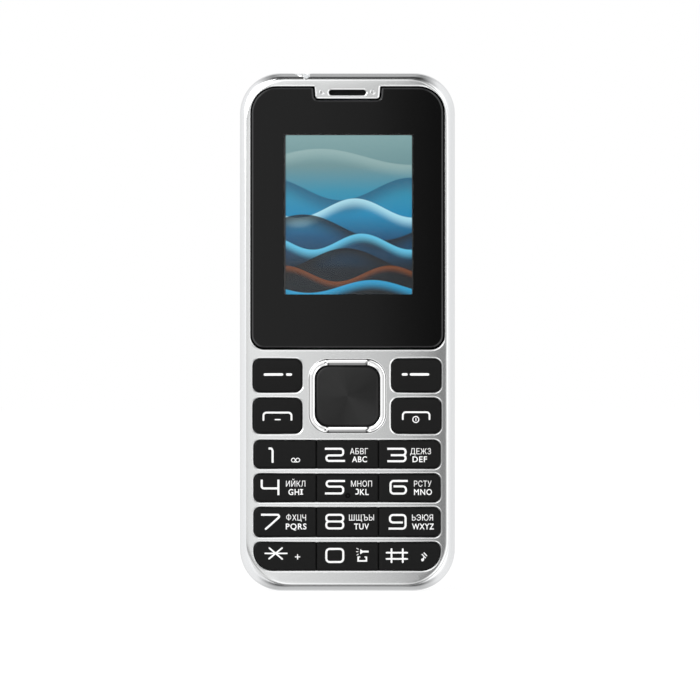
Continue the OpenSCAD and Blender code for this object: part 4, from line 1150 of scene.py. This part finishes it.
def contact_tree():
    """A row of bent contact springs: a flat strip swept along a path that rises to the contact point."""
    tree, given = new_tree("contact_row", Count="Int", Pitch="Float", Length="Float", Rise="Float", Strip="Float",
                           Place="Vector")
    half = add(tree, "ShaderNodeMath", {"operation": "MULTIPLY"}, {0: given["Length"], 1: 0.5})
    crest = add(tree, "ShaderNodeCombineXYZ", None, {"Y": given["Rise"], "Z": half.outputs[0]})
    tip = add(tree, "ShaderNodeCombineXYZ", None, {"Z": given["Length"]})
    path = add(tree, "GeometryNodeCurveQuadraticBezier", None,
               {"Resolution": 10, "Middle": crest.outputs[0], "End": tip.outputs[0], "Start": (0, 0, 0)})
    thin = add(tree, "ShaderNodeMath", {"operation": "MULTIPLY"}, {0: given["Strip"], 1: 0.3})
    section = add(tree, "GeometryNodeCurvePrimitiveQuadrilateral", None,
                  {"Width": given["Strip"], "Height": thin.outputs[0]})
    spring = add(tree, "GeometryNodeCurveToMesh", None,
                 {"Curve": path.outputs[0], "Profile Curve": section.outputs[0], "Fill Caps": True})
    step = add(tree, "ShaderNodeCombineXYZ", None, {"X": given["Pitch"]})
    row = add(tree, "GeometryNodeMeshLine", {"mode": "OFFSET"},
              {"Count": given["Count"], "Start Location": given["Place"], "Offset": step.outputs[0]})
    springs = add(tree, "GeometryNodeInstanceOnPoints", None, {"Points": row.outputs[0], "Instance": spring.outputs[0]})
    real = add(tree, "GeometryNodeRealizeInstances", None, {0: springs.outputs[0]})
    coated = add(tree, "GeometryNodeSetMaterial", None, {"Geometry": real.outputs[0], "Material": gold_finish})
    add(tree, "NodeGroupOutput", None, {0: coated.outputs[0]})
    return tree


def grow(name, tree, **values):
    """A piece made by a node tree from its named inputs."""
    thing = bpy.data.objects.new(name, bpy.data.meshes.new(name))
    bpy.context.scene.collection.objects.link(thing)
    step = thing.modifiers.new("nodes", "NODES")
    step.node_group = tree
    sockets = {item.name: item.identifier for item in tree.interface.items_tree if item.in_out == "INPUT"}
    for key, value in values.items():
        step[sockets[key]] = value
    mesh = bpy.data.meshes.new_from_object(thing.evaluated_get(bpy.context.evaluated_depsgraph_get()))
    thing.modifiers.clear()
    thing.data = mesh
    return thing


# wires 0.4 mm apart, about twice as coarse as real cloth so that the weave shows
weave = weave_tree()
mesh = grow("speaker_weave", weave, Width=14.4 * MM, Height=14.4 * MM, Pitch=0.4 * MM, Wire=0.07 * MM,
            Reach=7.15 * MM, Place=at(0, SPEAKER_Y, -5.04))
mount(mesh, wire_finish, "housing")
mesh = grow("earpiece_weave", weave, Width=8.8 * MM, Height=1.6 * MM, Pitch=0.4 * MM, Wire=0.06 * MM,
            Reach=9 * MM, Place=at(0, SLOT_MID, 4.985))
mount(mesh, wire_finish, "housing")
shell = Shell()
shell.upright(rounded([-1.9, 0.2, 1.9, 0.72], 0.12, 3), 2.4, 5.9)
mount(shell.made("charging_port_tongue", True), moulded_black, "housing")
pins = grow("charging_port_contacts", contact_tree(), Count=5, Pitch=0.65 * MM, Length=2.8 * MM, Rise=0.14 * MM,
            Strip=0.3 * MM, Place=at(-1.3, 2.55, 0.17))
mount(pins, gold_finish, "housing")

# ---- solids that keep their own shape

finishes = {
    "black_print": mask_finish, "panel_glass": glass_black, "white_plastic": moulded_white, "flex_film": film_finish,
    "black_mesh": felt_finish, "ring_chrome": chrome_finish, "grey_plastic": moulded_grey, "silicone": silicone_finish,
    "board_laminate": board_finish, "dark_plastic": moulded_dark, "battery_wrap": wrap_finish,
    "gold_contact": gold_finish, "black_plastic": moulded_black, "camera_glass": camera_finish,
    "led_yellow": led_finish, "stamped_steel": steel_finish}
for part in frame["record"]["subparts"]:
    if part["material_slot"] in finishes:
        for place in nodes[part["node"]].material_slots:
            place.material = finishes[part["material_slot"]]

# ---- floor, light, camera

bpy.ops.mesh.primitive_plane_add(size=6, location=(0, 0, -0.00006))  # a hair below the bottom end
floor = bpy.context.object
floor.name = "floor"
floor.visible_glossy = False  # metal mirrors the studio itself
# white paper that also glows with the studio's own levels, so that gloss on the phone sees no edge
material, tree, shader = blank("studio_paper_white")
shader.inputs["Base Color"].default_value = linear("#f2f2f2")
shader.inputs["Roughness"].default_value = 0.9


def profile(tree, value, stops):
    """A grey level along one direction of the studio, from -1 to 1."""
    shift = add(tree, "ShaderNodeMapRange", None, {"Value": value, 1: -1.0, 2: 1.0})
    return ramp(tree, shift.outputs[0], [((place + 1) / 2, (level, level, level, 1)) for place, level in stops])


def studio(tree, way):
    """White walls behind; in front a bright left, a dark gap to the right of the middle and a dark ceiling."""
    apart = add(tree, "ShaderNodeSeparateXYZ", None, {0: way})
    across = profile(tree, apart.outputs["X"], [
        (-1, 1.0), (-0.6, 1.06), (-0.52, 1.15), (-0.47, 0.75), (-0.42, 0.4), (-0.34, 0.34), (-0.26, 0.48), (-0.2, 1.0),
        (-0.15, 1.18), (-0.1, 1.12), (-0.03, 1.04), (0.02, 0.82), (0.05, 0.47), (0.08, 0.22), (0.13, 0.1), (0.22, 0.1),
        (0.28, 0.42), (0.34, 1.35), (0.42, 1.7), (0.56, 1.45), (0.7, 1.02), (1, 0.93)])
    upward = profile(tree, apart.outputs["Z"], [
        (-1, 0.65), (-0.9, 0.5), (-0.76, 0.06), (-0.66, 0.12), (-0.56, 1.2), (-0.42, 1.6), (-0.28, 1.4), (-0.14, 1.0),
        (0.14, 1.0), (0.28, 1.6), (0.42, 1.6), (0.54, 1.3), (0.61, 0.15), (0.66, 0.02), (0.88, 0.03),
        (0.96, 0.28), (1, 0.65)])
    # floor and ceiling lose their dark bands towards the sides
    aside = add(tree, "ShaderNodeMath", {"operation": "ABSOLUTE"}, {0: apart.outputs["X"]})
    fading = add(tree, "ShaderNodeMapRange", None, {"Value": aside.outputs[0], 1: 0.25, 2: 0.6})
    even = add(tree, "ShaderNodeMix", {"data_type": "RGBA"}, {0: fading.outputs[0], 6: upward, 7: WHITE})
    # and the gap between the walls ends below the ceiling
    aloft = add(tree, "ShaderNodeMath", {"operation": "ABSOLUTE"}, {0: apart.outputs["Z"]})
    ending = add(tree, "ShaderNodeMapRange", None, {"Value": aloft.outputs[0], 1: 0.3, 2: 0.6})
    walls = add(tree, "ShaderNodeMix", {"data_type": "RGBA"}, {0: ending.outputs[0], 6: across, 7: WHITE})
    behind = add(tree, "ShaderNodeMapRange", {"interpolation_type": "SMOOTHSTEP"},
                 {"Value": apart.outputs["Y"], 1: 0.15, 2: 0.8})
    ahead = add(tree, "ShaderNodeMix", {"data_type": "RGBA", "blend_type": "MULTIPLY"},
                {0: 1.0, 6: walls.outputs[2], 7: even.outputs[2]})
    return add(tree, "ShaderNodeMix", {"data_type": "RGBA"},
               {0: behind.outputs[0], 6: ahead.outputs[2], 7: (0.9, 0.9, 0.9, 1)}).outputs[2]


def seen_white(tree, colour):
    """Plain white to the camera, the studio's own level to everything else."""
    rays = add(tree, "ShaderNodeLightPath")
    mix = add(tree, "ShaderNodeMix", {"data_type": "RGBA"},
              {0: rays.outputs["Is Camera Ray"], 6: colour, 7: WHITE})
    return mix.outputs[2], rays


spread = add(tree, "ShaderNodeTexCoord").outputs["Object"]
lowered = add(tree, "ShaderNodeVectorMath", {"operation": "SUBTRACT"}, {0: spread, 1: PHONE_CENTRE})
outward = add(tree, "ShaderNodeVectorMath", {"operation": "NORMALIZE"}, {0: lowered.outputs[0]})
colour, rays = seen_white(tree, studio(tree, outward.outputs[0]))
lit = add(tree, "ShaderNodeMath", {"operation": "MAXIMUM"},
          {0: rays.outputs["Is Camera Ray"], 1: rays.outputs["Is Glossy Ray"]})
share = add(tree, "ShaderNodeMath", {"operation": "MULTIPLY"}, {0: lit.outputs[0], 1: 0.8})
glow = add(tree, "ShaderNodeEmission", None, {"Color": colour, "Strength": 1.1})
blend = add(tree, "ShaderNodeMixShader", None, {0: share.outputs[0], 1: shader.outputs[0], 2: glow.outputs[0]})
tree.links.new(blend.outputs[0], tree.nodes["Material Output"].inputs["Surface"])
floor.data.materials.append(material)

world = bpy.data.worlds.new("studio")
bpy.context.scene.world = world
world.use_nodes = True
tree = world.node_tree
way = add(tree, "ShaderNodeTexCoord").outputs["Generated"]
tree.links.new(seen_white(tree, studio(tree, way))[0], tree.nodes["Background"].inputs["Color"])

lamp = bpy.data.lights.new("softbox_left", "AREA")
lamp.shape, lamp.size, lamp.size_y, lamp.energy = "RECTANGLE", 0.7, 0.7, 5.0
key_light = bpy.data.objects.new("softbox_left", lamp)
bpy.context.scene.collection.objects.link(key_light)
key_light.location = (-0.55, -0.6, 0.5)
key_light.rotation_euler = (Vector(PHONE_CENTRE) - key_light.location).to_track_quat("-Z", "Y").to_euler()

camera_data = bpy.data.cameras.new("camera")
camera = bpy.data.objects.new("camera", camera_data)
bpy.context.scene.collection.objects.link(camera)
camera_data.sensor_width = 36
camera_data.lens = camera_data.sensor_width * DISTANCE / (PHOTO_SIZE * PIXEL * MM)
centre = spot(PHOTO_MIDDLE, PHOTO_MIDDLE)
camera.location = (centre[0] * MM, -DISTANCE - SCALE_PLANE * MM, centre[1] * MM)
camera.rotation_euler = (math.pi / 2, 0, 0)
bpy.context.scene.camera = camera
bpy.context.scene.view_settings.view_transform = "Standard"
